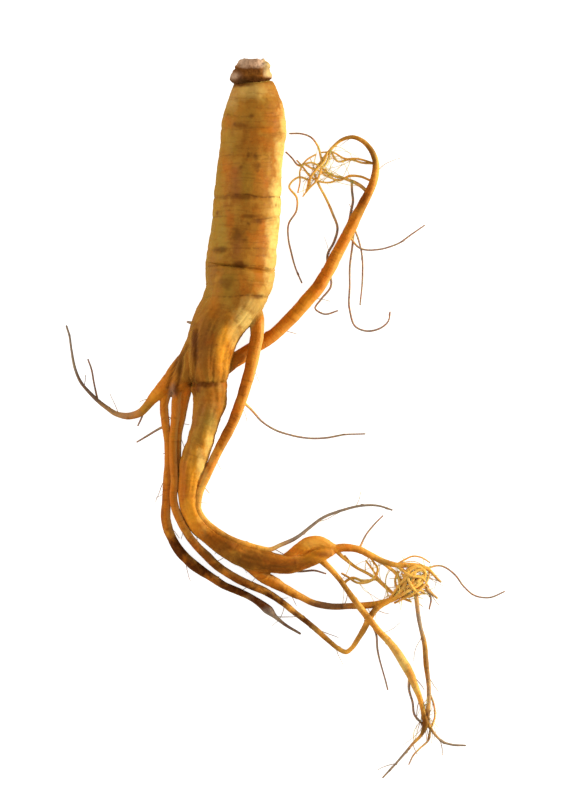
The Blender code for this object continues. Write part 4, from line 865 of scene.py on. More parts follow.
def press_rings(y, angle, lift, groove):
    """Press the ring wrinkles and the thin rings into the taproot, and darken their creases."""
    wave = noise_at(round_root(angle, y, *RING_WAVE))
    fine_wave = noise_at(round_root(angle, y, *RING_FINE_WAVE))
    mean, swing, tightness = RING_FADE
    for place, depth, half_width, stain in RING_WRINKLES:
        near = np.flatnonzero(np.abs(y - place) < RING_REACH)
        around = angle[near]
        spots = [tightness * np.cos(around) + place, tightness * np.sin(around) + 2.0, 0.0 * around]
        fade = mean + swing * noise_at(np.stack(spots, 1))
        away = y[near] - place - RING_SLANT * wave[near]
        crease = bell(away - RING_JAG * fine_wave[near], CREASE_HALF_WIDTH)
        lift[near] -= depth * fade * (RING_DISH_SHARE * bell(away, half_width) + CREASE_SHARE * crease)
        shown = limited(RING_DARKENING_SLOPE * fade - RING_DARKENING_DROP)
        groove[near] = np.maximum(groove[near], stain * crease * shown)
    for place, depth, half_width, middle, span in FINE_RINGS:
        near = np.flatnonzero(np.abs(y - place) < FINE_RING_REACH)
        away = y[near] - place - FINE_RING_SLANT * wave[near] - FINE_RING_JAG * fine_wave[near]
        crease = bell(away, half_width) * part_way_round(angle[near], middle, span)
        lift[near] -= depth * crease
        groove[near] = np.maximum(groove[near], FINE_RING_DARKENING * crease)


def raise_marks(y, angle, lift, scar):
    """Raise the lenticels of the taproot, and rim and sink the scars of its lost rootlets."""
    for place, middle, half_length, half_height, height in LENTICELS:
        near = np.flatnonzero(np.abs(y - place) < LENTICEL_REACH)
        sideways = TAPROOT_GIRTH * angle_between(angle[near], middle)
        bump = bell(y[near] - place, half_height) * bell(sideways, half_length)
        lift[near] += height * bump
        scar[near] = np.maximum(scar[near], LENTICEL_STAIN * bump)
    ragged = layered_noise(angle, y, SCAR_EDGE_NOISES)
    for place, middle, size in ROOT_SCARS:
        near = np.flatnonzero(np.abs(y - place) < SCAR_REACH * size)
        sideways = TAPROOT_GIRTH * angle_between(angle[near], math.radians(middle))
        away = np.hypot(y[near] - place, SCAR_SQUASH * sideways) * (1.0 + SCAR_RAGGEDNESS * ragged[near])
        rim, pit = bell(away - size, SCAR_RIM_WIDTH * size), bell(away, SCAR_PIT_WIDTH * size)
        lift[near] += SCAR_RIM_HEIGHT * rim - SCAR_PIT_DEPTH * pit
        scar[near] = np.maximum(scar[near], SCAR_STAIN * bell(away, size))


def taproot_relief(points, along, angle, radius):
    """The taproot's lumps, folds, rings, lenticels and scars, and the marks that colour them."""
    y = points[:, 1]
    lift = layered_noise(angle, y, TAPROOT_NOISES)
    folding = limited((CROWN_FOLDS_FROM - y) / CROWN_FOLD_EASE)
    folds = layered_noise(angle, y, CROWN_FOLD_NOISES)
    lift += CROWN_FOLD_HEIGHT * folding * folds
    valleys = limited(-CROWN_FOLD_SLOPE * folds - CROWN_FOLD_DROP)
    groove, scar = CROWN_FOLD_DARKENING * folding * valleys, np.zeros(len(y))
    press_rings(y, angle, lift, groove)
    raise_marks(y, angle, lift, scar)
    return lift, {"groove": groove, "scar": scar}


class Root:
    """A root: its samples, how far along it each one is, its relief, and where it turns dry."""

    def __init__(self, samples, seed, nodules=0.0, ringed=1.0, relief=None, dry_from=FAR):
        self.samples = samples
        self.along = frames_along(samples)[0]
        self.relief = relief or slim_relief(seed, self.along[-1], nodules, ringed)
        self.dry_from = dry_from

    def stretch(self, first=-FAR, last=FAR):
        """Its samples from first to last, diving under past them, and where they start along it."""
        depth = np.maximum(np.maximum(first - self.along, self.along - last), 0.0) / OVERLAP
        kept = depth <= 1.0
        samples = self.samples[kept].copy()
        samples[:, 3] *= 1.0 - PINCH * depth[kept]
        return samples, self.along[kept][0]

    def dryness(self, along):
        """How withered the root is, from 0 to 1 at its tip."""
        span = max(self.along[-1] - self.dry_from, 1.0)
        return limited(DRYING_SPEED * (along - self.dry_from) / span)


def with_round_ends(samples):
    """The samples with three smaller rings past each end, so that the root ends in a dome."""
    first, last = samples[0], samples[-1]
    back = samples[0, :3] - samples[1, :3]
    ahead = samples[-1, :3] - samples[-2, :3]
    rows = [samples]
    for turn in np.radians(DOME_TURNS):
        for end, way, before in ((first, back, True), (last, ahead, False)):
            reach = min(end[3], DOME_REACH) * math.sin(turn)
            ring = np.append(end[:3] + way / np.linalg.norm(way) * reach, end[3] * math.cos(turn))
            rows = [ring[None]] + rows if before else rows + [ring[None]]
    return np.concatenate(rows)


def sweep(samples, sides, root=None, start=0.0):
    """A closed tube round the samples: its points, its faces, and the marks of each point."""
    samples = with_round_ends(samples)
    along, _, side, up = frames_along(samples)
    along += start - along[len(DOME_TURNS)]
    angle = np.tile(np.linspace(0.0, math.tau, sides, endpoint=False), len(samples))
    ring = np.repeat(np.arange(len(samples)), sides)
    radius, along = samples[ring, 3], along[ring]
    out = np.cos(angle)[:, None] * side[ring] + np.sin(angle)[:, None] * up[ring]
    points = samples[ring, :3] + radius[:, None] * out
    marks = {"along": along, "angle": angle, "girth": radius}
    if root:
        lift, found = root.relief(points, along, angle, radius)
        points += lift[:, None] * out
        marks.update(found, dry=root.dryness(along))
    points[:, 2] = np.maximum(points[:, 2], FLOOR_CLEARANCE)
    here = np.arange(len(samples) - 1)[:, None] * sides + np.arange(sides)[None]
    beside = np.arange(len(samples) - 1)[:, None] * sides + (np.arange(sides)[None] + 1) % sides
    quads = np.stack([here, beside, beside + sides, here + sides], -1).reshape(-1, 4)
    caps = [list(range(sides))[::-1], [len(ring) - sides + i for i in range(sides)]]
    return points, quads.tolist() + caps, marks


def joined(tubes):
    """The points, faces and marks of several tubes as one."""
    points, faces, marks, count = [], [], [], 0
    for new_points, new_faces, new_marks in tubes:
        points.append(new_points)
        faces += [[corner + count for corner in face] for face in new_faces]
        marks.append(new_marks)
        count += len(new_points)
    together = {key: np.concatenate([one[key] for one in marks]) for key in marks[0]}
    return np.concatenate(points), faces, together


def mesh_object(name, points, faces):
    """A mesh of these points and faces, every face turned out."""
    mesh = bpy.data.meshes.new(name)
    mesh.from_pydata((points * MM).tolist(), [], faces)
    body = bmesh.new()
    body.from_mesh(mesh)
    bmesh.ops.recalc_face_normals(body, faces=body.faces)
    body.to_mesh(mesh)
    body.free()
    made = bpy.data.objects.new(name, mesh)
    bpy.context.scene.collection.objects.link(made)
    return made


def mesh_rows(made):
    """The points of a mesh, in millimetres, and the ways its skin faces at them."""
    points = np.empty(len(made.data.vertices) * 3, np.float32)
    made.data.vertices.foreach_get("co", points)
    normals = np.empty(len(points), np.float32)
    made.data.vertex_normals.foreach_get("vector", normals)
    return points.reshape(-1, 3).astype(float) / MM, normals.reshape(-1, 3).astype(float)


def set_points(made, points):
    points[:, 2] = np.maximum(points[:, 2], FLOOR_CLEARANCE)
    made.data.vertices.foreach_set("co", (points * MM).astype(np.float32).ravel())
    made.data.update()


def patch_marks(points):
    """How strongly each kind of patch colours each point."""
    ragged = noise_at(points * PATCH_COARSE) + 0.5 * noise_at(points * PATCH_FINE + 9.0)
    marks = {}
    for kind, patches in PATCHES.items():
        mark = np.zeros(len(points))
        for x, y, half_x, half_y, strength in patches:
            away = np.hypot((points[:, 0] - x) / half_x, (points[:, 1] - y) / half_y)
            mark = np.maximum(mark, strength * limited(PATCH_REACH - away + PATCH_RAGGEDNESS * ragged))
        marks[kind] = mark
    return marks


def painted_light_marks(normals, girth):
    """Painted light on a slim root: how pale it is painted on the side facing the light, and how dark, as
    painted shade, on the other.
    """
    facing = normals[:, 0] * PAINTED_LIGHT_WAY[0] + normals[:, 1] * PAINTED_LIGHT_WAY[1]
    slim = limited((PAINTED_LIGHT_GIRTH - girth) / PAINTED_LIGHT_GIRTH_EASE)
    painted_lit = limited((facing - PAINTED_LIGHT_FROM) / PAINTED_LIGHT_EASE)
    painted_shaded = limited((-facing - PAINTED_LIGHT_FROM) / PAINTED_LIGHT_EASE)
    return {"pale": PAINTED_HIGHLIGHT_SHARE * slim * painted_lit, "dusky_and_shade": PAINTED_SHADE_SHARE * slim * painted_shaded}


def write_marks(made, points, marks):
    """Store where each point is on its root, and its marks, for the materials to read."""
    marks = dict(marks)
    # Patches hold the skin's own tones and painted highlight and shade; the slim roots also get painted
    # light and shade on their sides
    patches, sides = patch_marks(points), painted_light_marks(mesh_rows(made)[1], marks["girth"])
    for kind, mark in patches.items():
        marks[kind] = np.maximum(marks.get(kind, 0.0), np.maximum(mark, sides.get(kind, 0.0)))
    girth, angle = marks["girth"], marks.pop("angle")
    grain = np.stack([girth * np.cos(angle), girth * np.sin(angle), marks.pop("along")], 1)
    for name, values in marks.items():
        layer = made.data.attributes.new(name, "FLOAT", "POINT")
        layer.data.foreach_set("value", values.astype(np.float32))
    layer = made.data.attributes.new("grain", "FLOAT_VECTOR", "POINT")
    layer.data.foreach_set("vector", grain.astype(np.float32).ravel())


def finish_piece(made, material):
    """Give a piece its material, and tie it to the frame."""
    made.data.materials.clear()
    made.data.materials.append(material)
    made.data.shade_smooth()
    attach(made, "root")
    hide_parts(NODE)


def swept_piece(name, tubes, material):
    points, faces, marks = joined(tubes)
    made = mesh_object(name, points, faces)
    write_marks(made, points, marks)
    finish_piece(made, material)


def remeshed(name, rough, voxel, smoothing):
    """One closed skin over the shapes of a rough mesh, with its forks smoothed."""
    remesh = rough.modifiers.new("grown together", "REMESH")
    remesh.mode = "VOXEL"
    remesh.voxel_size = voxel * MM
    soften = rough.modifiers.new("softened forks", "SMOOTH")
    soften.iterations = smoothing
    bpy.context.view_layer.update()
    evaluated = rough.evaluated_get(bpy.context.evaluated_depsgraph_get())
    mesh = bpy.data.meshes.new_from_object(evaluated)
    bpy.data.objects.remove(rough, do_unlink=True)
    mesh.name = name
    made = bpy.data.objects.new(name, mesh)
    bpy.context.scene.collection.objects.link(made)
    return made


def place_on(samples, points):
    """Where points lie on a root: along it, angle round it, its radius there, and height off it."""
    along, ahead, side, up = frames_along(samples)
    middle = samples[:, :3]
    gaps = (points ** 2).sum(1)[:, None] + (middle ** 2).sum(1)[None] - 2.0 * points @ middle.T
    nearest = np.argmin(gaps, axis=1)
    offset = points - middle[nearest]
    forward = (offset * ahead[nearest]).sum(1)
    angle = np.arctan2((offset * up[nearest]).sum(1), (offset * side[nearest]).sum(1))
    distance = np.sqrt(np.maximum((offset ** 2).sum(1) - forward ** 2, 0.0))
    radius = samples[nearest, 3]
    return along[nearest] + forward, angle, radius, distance - radius


def away_from_line(points, line):
    """How far points are, seen from above, from a line through places (x, y)."""
    nearest = np.full(len(points), FAR)
    for (x, y), (next_x, next_y) in zip(line, line[1:]):
        across, ahead = next_x - x, next_y - y
        share = ((points[:, 0] - x) * across + (points[:, 1] - y) * ahead) / (across ** 2 + ahead ** 2)
        share = limited(share)
        away = np.hypot(points[:, 0] - x - share * across, points[:, 1] - y - share * ahead)
        nearest = np.minimum(nearest, away)
    return nearest


def crown_furrows(points, normals):
    """How far the furrows and the collar's crease lift each point of the crown, and the shade painted in
    the furrows.
    """
    wobble = noise_at(points * 0.5 + 3.0)
    furrow = np.zeros(len(points))
    for line in CROWN_FURROWS:
        half_width = FURROW_HALF_WIDTH * (1.0 + FURROW_SPREAD * wobble)
        away = away_from_line(points, line) + FURROW_WOBBLE * wobble
        furrow = np.maximum(furrow, bell(away, half_width))
    # They fade out on the underside
    furrow *= limited(normals[:, 2] * 2.0 + 0.6)
    place, middle = COLLAR_PLACE
    away = points[:, 1] - place - COLLAR_SLANT * (points[:, 0] - middle)
    collar = bell(away - COLLAR_WOBBLE * wobble, COLLAR_HALF_WIDTH)
    low, high = COLLAR_SPAN
    collar *= limited(points[:, 0] - low) * limited(high - points[:, 0])
    return -FURROW_DEPTH * furrow - COLLAR_DEPTH * collar, FURROW_SHADE * furrow


def grown_skin(name, parts, voxel, smoothing, material):
    """One skin over stretches of roots, each (root, first, last, sides), with their relief on it."""
    stretches = [(root, *root.stretch(first, last), sides) for root, first, last, sides in parts]
    rough = joined([sweep(samples, sides) for _, samples, _, sides in stretches])
    made = remeshed(name, mesh_object(name + "_rough", *rough[:2]), voxel, smoothing)
    points, normals = mesh_rows(made)
    totals = {key: np.zeros(len(points)) for key in ("along", "girth", "groove", "scar", "dry", "lift")}
    ways = np.zeros((len(points), 2))
    weights = np.zeros(len(points))
    for root, samples, start, _ in stretches:
        along, angle, radius, gap = place_on(samples, points)
        along += start
        weight = np.exp(-np.clip(gap, *FORK_GAPS) / FORK_BLEND)
        lift, marks = root.relief(points, along, angle, radius)
        lift -= np.clip(gap, -TRUE_UP, TRUE_UP) * limited(1.0 - np.abs(gap) / TRUE_UP_REACH)
        found = {"along": along, "girth": radius, "lift": lift, "dry": root.dryness(along), **marks}
        for key, value in found.items():
            totals[key] += weight * value
        ways += weight[:, None] * np.stack([np.cos(angle), np.sin(angle)], 1)
        weights += weight
    marks = {key: value / weights for key, value in totals.items()}
    marks["angle"] = np.arctan2(ways[:, 1], ways[:, 0])
    # The shade painted in the furrows joins the dark of the creases
    dent, crease = crown_furrows(points, normals)
    marks["groove"] = np.maximum(marks["groove"], crease)
    points += normals * (marks.pop("lift") + dent)[:, None]
    set_points(made, points)
    write_marks(made, points, marks)
    finish_piece(made, material)


def lateral_roots():
    """The left, crossing and right lateral roots and the three roots of the bundle, by name."""
    roots = {}
    for name, route, seed, dry_from in (
        ("left_lateral", LEFT_LATERAL, LATERAL_SEED, 34.0),
        ("crossing_lateral", CROSSING_LATERAL, LATERAL_SEED + 1, 104.0),
        ("right_lateral", RIGHT_LATERAL, LATERAL_SEED + 2, FAR),
        ("bundle_outer", BUNDLE_OUTER, BUNDLE_SEED, 88.0),
        ("bundle_middle", BUNDLE_MIDDLE, BUNDLE_SEED + 1, FAR),
        ("bundle_inner", BUNDLE_INNER, BUNDLE_SEED + 2, FAR),
    ):
        samples = natural_route(route, FINE_STEP, seed)
        roots[name] = Root(samples, LATERAL_RELIEF_SEED + seed, nodules=0.12, ringed=0.6, dry_from=dry_from)
    return roots


def rootlets_by_name():
    """The leg's tip, the lower lateral root, the long rootlets and those of the knot, by name."""
    routes = {
        "leg_tip": LEG_TIP, "lower_lateral": LOWER_LATERAL,
        "long_rootlet": LONG_ROOTLET, "drop_rootlet": DROP_ROOTLET,
    }
    for number, route in enumerate(KNOT_ROOTLETS):
        routes[f"knot_rootlet_{number + 1}"] = route
    roots = {}
    for number, (name, route) in enumerate(routes.items()):
        samples = natural_route(route, FINE_STEP, ROOTLET_SEED + number)
        roots[name] = Root(samples, ROOTLET_RELIEF_SEED + number, nodules=0.25, ringed=0.7)
    return roots


def make_roots(skin):
    """The taproot, the crown, the leg, the lateral roots and the rootlets, and the roots by name."""
    taproot = Root(smooth_route(TAPROOT, BODY_STEP)[0], 0, relief=taproot_relief)
    base = Root(natural_route(BUNDLE_BASE, FINE_STEP, BASE_SEED), BASE_RELIEF_SEED, ringed=0.25)
    leg = Root(natural_route(LEG, FINE_STEP, LEG_SEED), LEG_RELIEF_SEED, nodules=0.1, ringed=0.35)
    knuckle_route = natural_route(KNUCKLE, FINE_STEP, KNUCKLE_SEED)
    knuckle = Root(knuckle_route, KNUCKLE_RELIEF_SEED, nodules=0.2, ringed=0.3)
    laterals, rootlets = lateral_roots(), rootlets_by_name()

    samples, start = taproot.stretch(last=BODY_END)
    swept_piece("taproot_body", [sweep(samples, SIDES["taproot"], taproot, start)], skin)
    crown = [(taproot, BODY_END, FAR, SIDES["rough taproot"]), (base, -FAR, FAR, SIDES["rough base"])]
    crown += [(root, -FAR, LATERAL_JOIN, SIDES["rough lateral"]) for root in laterals.values()]
    grown_skin("crown_skin", crown, CROWN_VOXEL, CROWN_SMOOTHING, skin)
    limbs = [(leg, -FAR, FAR, SIDES["rough leg"]), (knuckle, -FAR, FAR, SIDES["rough knuckle"])]
    for name, join in ROOTLET_JOINS.items():
        limbs.append((rootlets[name], -FAR, join, SIDES["rough rootlet"]))
    grown_skin("leg_skin", limbs, LEG_VOXEL, LEG_SMOOTHING, skin)
    for name, root in laterals.items():
        samples, start = root.stretch(first=LATERAL_JOIN)
        swept_piece(name, [sweep(samples, SIDES["lateral"], root, start)], skin)
    for name, root in rootlets.items():
        samples, start = root.stretch(first=ROOTLET_JOINS.get(name, -FAR))
        swept_piece(name, [sweep(samples, SIDES["rootlet"], root, start)], skin)
    return {**laterals, **rootlets}


def strand(route, seed, step=HAIR_STEP, stray=True, dry_share=None):
    """A thin root or hair from its route, turning dry from a share of its length on."""
    samples = natural_route(route, step, seed) if stray else smooth_route(route, step)[0]
    length = frames_along(samples)[0][-1]
    dry_from = FAR if dry_share is None else dry_share * length
    return Root(samples, HAIR_RELIEF_SEED + seed, nodules=HAIR_NODULES, dry_from=dry_from)


def inside_box(x, y):
    """Whether a place is inside the part's box, clear of its edges."""
    low, high = CAD_BOX
    within_x = low[0] / MM + EDGE_MARGIN < x < high[0] / MM - EDGE_MARGIN
    return within_x and low[1] / MM + EDGE_MARGIN < y < high[1] / MM - EDGE_MARGIN


def spots_in_box(box, carriers):
    """Places on the carriers between a least and a greatest x and y."""
    low_x, high_x, low_y, high_y = box
    spots = np.concatenate([root.samples[:, :3] for root in carriers])
    within = (spots[:, 0] > low_x) & (spots[:, 0] < high_x)
    return spots[within & (spots[:, 1] > low_y) & (spots[:, 1] < high_y)]


def strung_hairs(zone, carriers, seed):
    """Fine hairs strung in gentle arcs between the roots in a zone, some running on past them."""
    box, count, radii, lengths = zone
    spots = spots_in_box(box, carriers)
    draw = random.Random(seed)
    hairs = []
    for _ in range(TRIES_PER_HAIR * count):
        start, end = spots[draw.randrange(len(spots))], spots[draw.randrange(len(spots))]
        gap = end - start
        length = math.hypot(gap[0], gap[1])
        if not lengths[0] < length < lengths[1]:
            continue
        bow = draw.uniform(-0.18, 0.18)
        radius = draw.uniform(*radii)
        runs_on = draw.uniform(1.0, 4.0)
        past = draw.choice((0.0, 0.0, runs_on)) / length
        shares = [0.0, 0.25, 0.5, 0.75, 1.0] + ([1.0 + past] if past else [])
        rows = []
        for share in shares:
            bend = 4.0 * bow * share * (1.0 - share)
            x = start[0] + share * gap[0] - bend * gap[1] + draw.uniform(-0.25, 0.25)
            y = start[1] + share * gap[1] + bend * gap[0] + draw.uniform(-0.25, 0.25)
            rise = draw.uniform(-0.2, 0.9) * (0.0 < share < 1.0)
            height = start[2] + min(share, 1.0) * gap[2] + rise
            thinned = radius * (1.0 - STRUNG_TAPER * share)
            rows.append((x, y, max(height, radius + GROUND_GAP), thinned))
        if inside_box(*rows[-1][:2]):
            hairs.append(strand(rows, seed + len(hairs), stray=False))
        if len(hairs) == count:
            break
    return hairs


def side_hairs(carriers, seed):
    """Sparse fine hairs off the slim roots, each bending away from the side of one."""
    draw = random.Random(seed)
    hairs = []
    for root in carriers:
        _, ahead, _, _ = frames_along(root.samples)
        place = draw.uniform(*SIDE_HAIR_FIRST)
        while place < root.along[-1] - SIDE_HAIR_MARGIN:
            row = int(np.searchsorted(root.along, place))
            x, y, height, girth = root.samples[row]
            off_root = draw.choice((-1.0, 1.0)) * draw.uniform(0.4, 1.0)
            heading = math.atan2(ahead[row, 1], ahead[row, 0]) + off_root
            turn = draw.uniform(-0.12, 0.12)
            radius = min(0.4 * girth, draw.uniform(0.09, 0.16))
            rows = []
            for step in range(draw.randrange(4, 10)):
                sunk = max(height - SIDE_HAIR_DROP * step, radius + GROUND_GAP)
                rows.append((x, y, sunk, radius * (1.0 - SIDE_HAIR_TAPER * step)))
                heading += turn + draw.uniform(-0.12, 0.12)
                x, y = x + SIDE_HAIR_STEP * math.cos(heading), y + SIDE_HAIR_STEP * math.sin(heading)
            if inside_box(*rows[-1][:2]):
                hairs.append(strand(rows, seed + len(hairs), stray=False, dry_share=0.0))
            place += draw.uniform(*SIDE_HAIR_GAPS)
    return hairs


def make_hairs(roots, skin, hair_skin):
    """The long hairs, the strands of the tangle and the knot, and the fine hairs."""
    long_hairs = [
        strand(route, HAIR_SEED + number, dry_share=HAIR_DRY_SHARES.get(number, 0.0))
        for number, route in enumerate(HAIRS)
    ]
    tangle = [
        strand(route, TANGLE_SEED + number, FINE_STEP) for number, route in enumerate(TANGLE_STRANDS)
    ]
    knot = [strand(route, KNOT_SEED + number, FINE_STEP) for number, route in enumerate(KNOT_STRANDS)]

    def piece(name, hairs, sides, material):
        swept_piece(name, [sweep(root.samples, sides, root) for root in hairs], material)

    piece("long_hairs", long_hairs, SIDES["hair"], hair_skin)
    piece("tangle_strands", tangle, SIDES["hair"], skin)
    piece("knot_strands", knot, SIDES["knot strand"], skin)
    carriers = list(roots.values()) + long_hairs + tangle + knot
    for number, (name, zone) in enumerate(HAIR_ZONES.items()):
        hairs = strung_hairs(zone, carriers, ZONE_SEED * (number + 1))
        piece(name, hairs, SIDES["fine hair"], hair_skin)
    piece("side_hairs", side_hairs(roots.values(), SIDE_HAIR_SEED), SIDES["fine hair"], hair_skin)


def rough_head():
    """The rough lumps of the rhizome stub and its stem scar, as one loose mesh."""
    body = bmesh.new()
    for middle, half_sizes, turn in HEAD_LUMPS:
        made = bmesh.ops.create_uvsphere(body, u_segments=40, v_segments=28, radius=1.0)["verts"]
        for vertex in made:
            rough = noise.noise(vertex.co * HEAD_LUMP_TIGHTNESS + Vector(middle)) * HEAD_ROUGHNESS
            size = Vector([half * vertex.co[axis] for axis, half in enumerate(half_sizes)])
            vertex.co = size + vertex.co * rough
        place = Matrix.Translation(middle) @ Matrix.Rotation(math.radians(turn), 4, "Z")
        bmesh.ops.transform(body, matrix=place, verts=made)
    across, height = STEM_SCAR_MIDDLE
    profile = [body.verts.new((across + radius, y, height)) for radius, y in STEM_SCAR_PROFILE]
    edges = [body.edges.new(pair) for pair in zip(profile, profile[1:])]
    bmesh.ops.spin(
        body, geom=profile + edges, cent=(across, 0.0, height), axis=(0.0, 1.0, 0.0),
        angle=math.tau, steps=STEM_SCAR_STEPS, use_merge=True,
    )
    bmesh.ops.remove_doubles(body, verts=body.verts, dist=0.001)
    bmesh.ops.recalc_face_normals(body, faces=body.faces)
    bmesh.ops.transform(body, matrix=Matrix.Scale(MM, 4), verts=body.verts)
    mesh = bpy.data.meshes.new("rhizome_rough")
    body.to_mesh(mesh)
    body.free()
    rough = bpy.data.objects.new("rhizome_rough", mesh)
    bpy.context.scene.collection.objects.link(rough)
    return rough


def make_head(bark):
    """The rhizome stub: tiers of cracked bark under a paler cap with the cup of the dead stem."""
    head = remeshed("rhizome_head", rough_head(), HEAD_VOXEL, HEAD_SMOOTHING)
    points, normals = mesh_rows(head)
    across, height = STEM_SCAR_MIDDLE
    angle = np.arctan2(points[:, 2] - height, points[:, 0] - across)
    rim = np.hypot(points[:, 0] - across, points[:, 2] - height)
    y = points[:, 1]
    wave = noise_at(round_root(angle, y, *TIER_WAVE))
    cracks = limited(1.0 - 5.0 * np.abs(noise_at(round_root(angle, y, *CRACK_NOISE))))
    flakes = 1.6 * noise_at(points * (0.34, 0.6, 0.34) + 20.0)
    flakes += 0.5 * noise_at(points * (1.3, 2.2, 1.3) + 5.0)
    on_scar = limited((y - SCAR_FROM) / 0.5)
    lift = FLAKE_HEIGHT * flakes - CRACK_DEPTH * cracks * (1.0 - 0.6 * on_scar)
    tiers = np.zeros(len(points))
    for place, depth, half_width in HEAD_TIERS:
        dent = bell(y - place - 0.5 * wave, half_width) * (1.0 - on_scar)
        lift -= depth * dent
        tiers = np.maximum(tiers, dent)
    spokes = noise_at(np.stack([angle * 5.0, rim, 0.0 * rim], 1))
    lift += SPOKE_HEIGHT * spokes * on_scar
    points += normals * lift[:, None]
    set_points(head, points)
    write_marks(head, points, head_marks(points, angle, rim, wave, flakes, tiers, cracks))
    finish_piece(head, bark)


def head_marks(points, angle, rim, wave, flakes, tiers, cracks):
    """Where the stub's pale cap, its knob, its dark band and its lit right side lie. The band is dark bark
    with painted shade, the lit side a painted highlight.
    """
    x, y = points[:, 0], points[:, 1]
    cap = limited((y - CAP_FROM - 0.9 * wave - 0.5 * flakes) / 1.2)
    off_knob = [(x - KNOB_PLACE[0]) / KNOB_HALF_SIZES[0], (y - KNOB_PLACE[1]) / KNOB_HALF_SIZES[1]]
    knob = bell(np.hypot(*off_knob), 1.0)
    # The lit right side is a painted highlight, and the dark band is dark bark with painted shade
    lit = limited((x - LIT_FROM[0] + wave) / LIT_EASE[0]) * limited((y - LIT_FROM[1]) / LIT_EASE[1])
    band = limited((BAND_TO - y + 0.6 * wave + 0.4 * flakes) / 1.3) * (1.0 - knob)
    return {
        "along": y, "angle": angle, "girth": rim,
        "groove": np.maximum(np.maximum(0.4 * tiers, 0.25 * cracks), 0.95 * band * (1.0 - lit)),
        "scar": np.maximum(np.maximum(cap, knob), 0.8 * lit), "pale": 0.8 * lit,
    }


def sockets(tree, direction, wanted):
    for name, kind, value in wanted:
        made = tree.interface.new_socket(name=name, in_out=direction, socket_type=kind)
        if value is not None:
            made.default_value = value


def add(tree, kind, inputs=None, **settings):
    """A shader node with its settings, and with values or links on its inputs."""
    made = tree.nodes.new(kind)
    for key, value in settings.items():
        setattr(made, key, value)
    for key, value in (inputs or {}).items():
        if isinstance(value, bpy.types.NodeSocket):
            tree.links.new(value, made.inputs[key])
        else:
            made.inputs[key].default_value = value
    return made


def mark_of(tree, name):
    return add(tree, "ShaderNodeAttribute", attribute_name=name).outputs["Fac"]


def grain_of(tree):
    """Where a point lies on its root, unrolled, in millimetres."""
    return add(tree, "ShaderNodeAttribute", attribute_name="grain").outputs["Vector"]


def stretched(tree, vector, scale, offset=0.0):
    made = add(
        tree, "ShaderNodeVectorMath", operation="MULTIPLY_ADD",
        inputs={0: vector, 1: scale, 2: (offset, 0.6 * offset, 0.3 * offset)},
    )
    return made.outputs[0]


def mix(tree, factor, first, second):
    made = add(tree, "ShaderNodeMix", data_type="RGBA", inputs={0: factor, 6: first, 7: second})
    return made.outputs[2]


def step_up(tree, value, low, high):
    """A smooth step of a value from low to high, as a mask from 0 to 1."""
    made = add(
        tree, "ShaderNodeMapRange", interpolation_type="SMOOTHSTEP",
        inputs={0: value, 1: low, 2: high, 3: 0.0, 4: 1.0},
    )
    return made.outputs[0]


def maths(tree, operation, first, second):
    return add(tree, "ShaderNodeMath", operation=operation, inputs={0: first, 1: second}).outputs[0]


def times(tree, first, second):
    return maths(tree, "MULTIPLY", first, second)


def cloud(tree, vector, scale, detail=3.0):
    made = add(tree, "ShaderNodeTexNoise", inputs={"Vector": vector, "Scale": scale, "Detail": detail})
    return made.outputs[0]


def colour(*values):
    return (*values, 1.0)


def mottled_group():
    """Four colours of skin laid over each other in blotches, with thin darker lines across."""
    tree = bpy.data.node_groups.new("mottled skin", "ShaderNodeTree")
    names = ("Middle", "Pale", "Deep", "Orange")
    sockets(tree, "INPUT", [(name, "NodeSocketColor", colour(*STOUT_SKIN[0])) for name in names])
    sockets(tree, "INPUT", [("Contrast", "NodeSocketFloat", 1.0)])
    sockets(tree, "OUTPUT", [("Color", "NodeSocketColor", None)])
    given = tree.nodes.new("NodeGroupInput").outputs
    grain = grain_of(tree)
    made = given["Middle"]
    for name, scale, offset, low, high, share in BLOTCHES:
        blotch = cloud(tree, stretched(tree, grain, (1.0, 1.0, 0.8), offset), scale)
        mask = step_up(tree, blotch, low, high)
        share = times(tree, given["Contrast"], share)
        made = mix(tree, times(tree, mask, share), made, given[name])
    across = cloud(tree, stretched(tree, grain, (0.3, 0.3, 2.6)), scale=1.0, detail=2.0)
    made = mix(tree, times(tree, step_up(tree, across, 0.56, 0.74), 0.4), made, given["Deep"])
    tree.links.new(made, tree.nodes.new("NodeGroupOutput").inputs["Color"])
    return tree


def marked_group():
    """A skin colour with its patches, painted highlight and shade among them, its dry tips, its dark
    creases and its scars.
    """
    tree = bpy.data.node_groups.new("marked skin", "ShaderNodeTree")
    sockets(tree, "INPUT", [("Color", "NodeSocketColor", colour(*STOUT_SKIN[0]))])
    sockets(tree, "OUTPUT", [("Color", "NodeSocketColor", None)])
    given = tree.nodes.new("NodeGroupInput").outputs
    grain = grain_of(tree)
    ragged = maths(tree, "ADD", 0.7, times(tree, cloud(tree, grain, scale=0.8, detail=4.0), 0.6))
    made = given["Color"]
    for name, (tint, share) in PATCH_TINTS.items():
        share = times(tree, times(tree, mark_of(tree, name), ragged), share)
        made = mix(tree, share, made, colour(*tint))
    broken = step_up(tree, cloud(tree, grain, 0.7), 0.32, 0.56)
    groove = times(tree, mark_of(tree, "groove"), broken)
    made = mix(tree, times(tree, groove, GROOVE_SHARE), made, colour(*GROOVE_TINT))
    made = mix(tree, times(tree, mark_of(tree, "scar"), SCAR_SHARE), made, colour(*SCAR_TINT))
    tree.links.new(made, tree.nodes.new("NodeGroupOutput").inputs["Color"])
    return tree


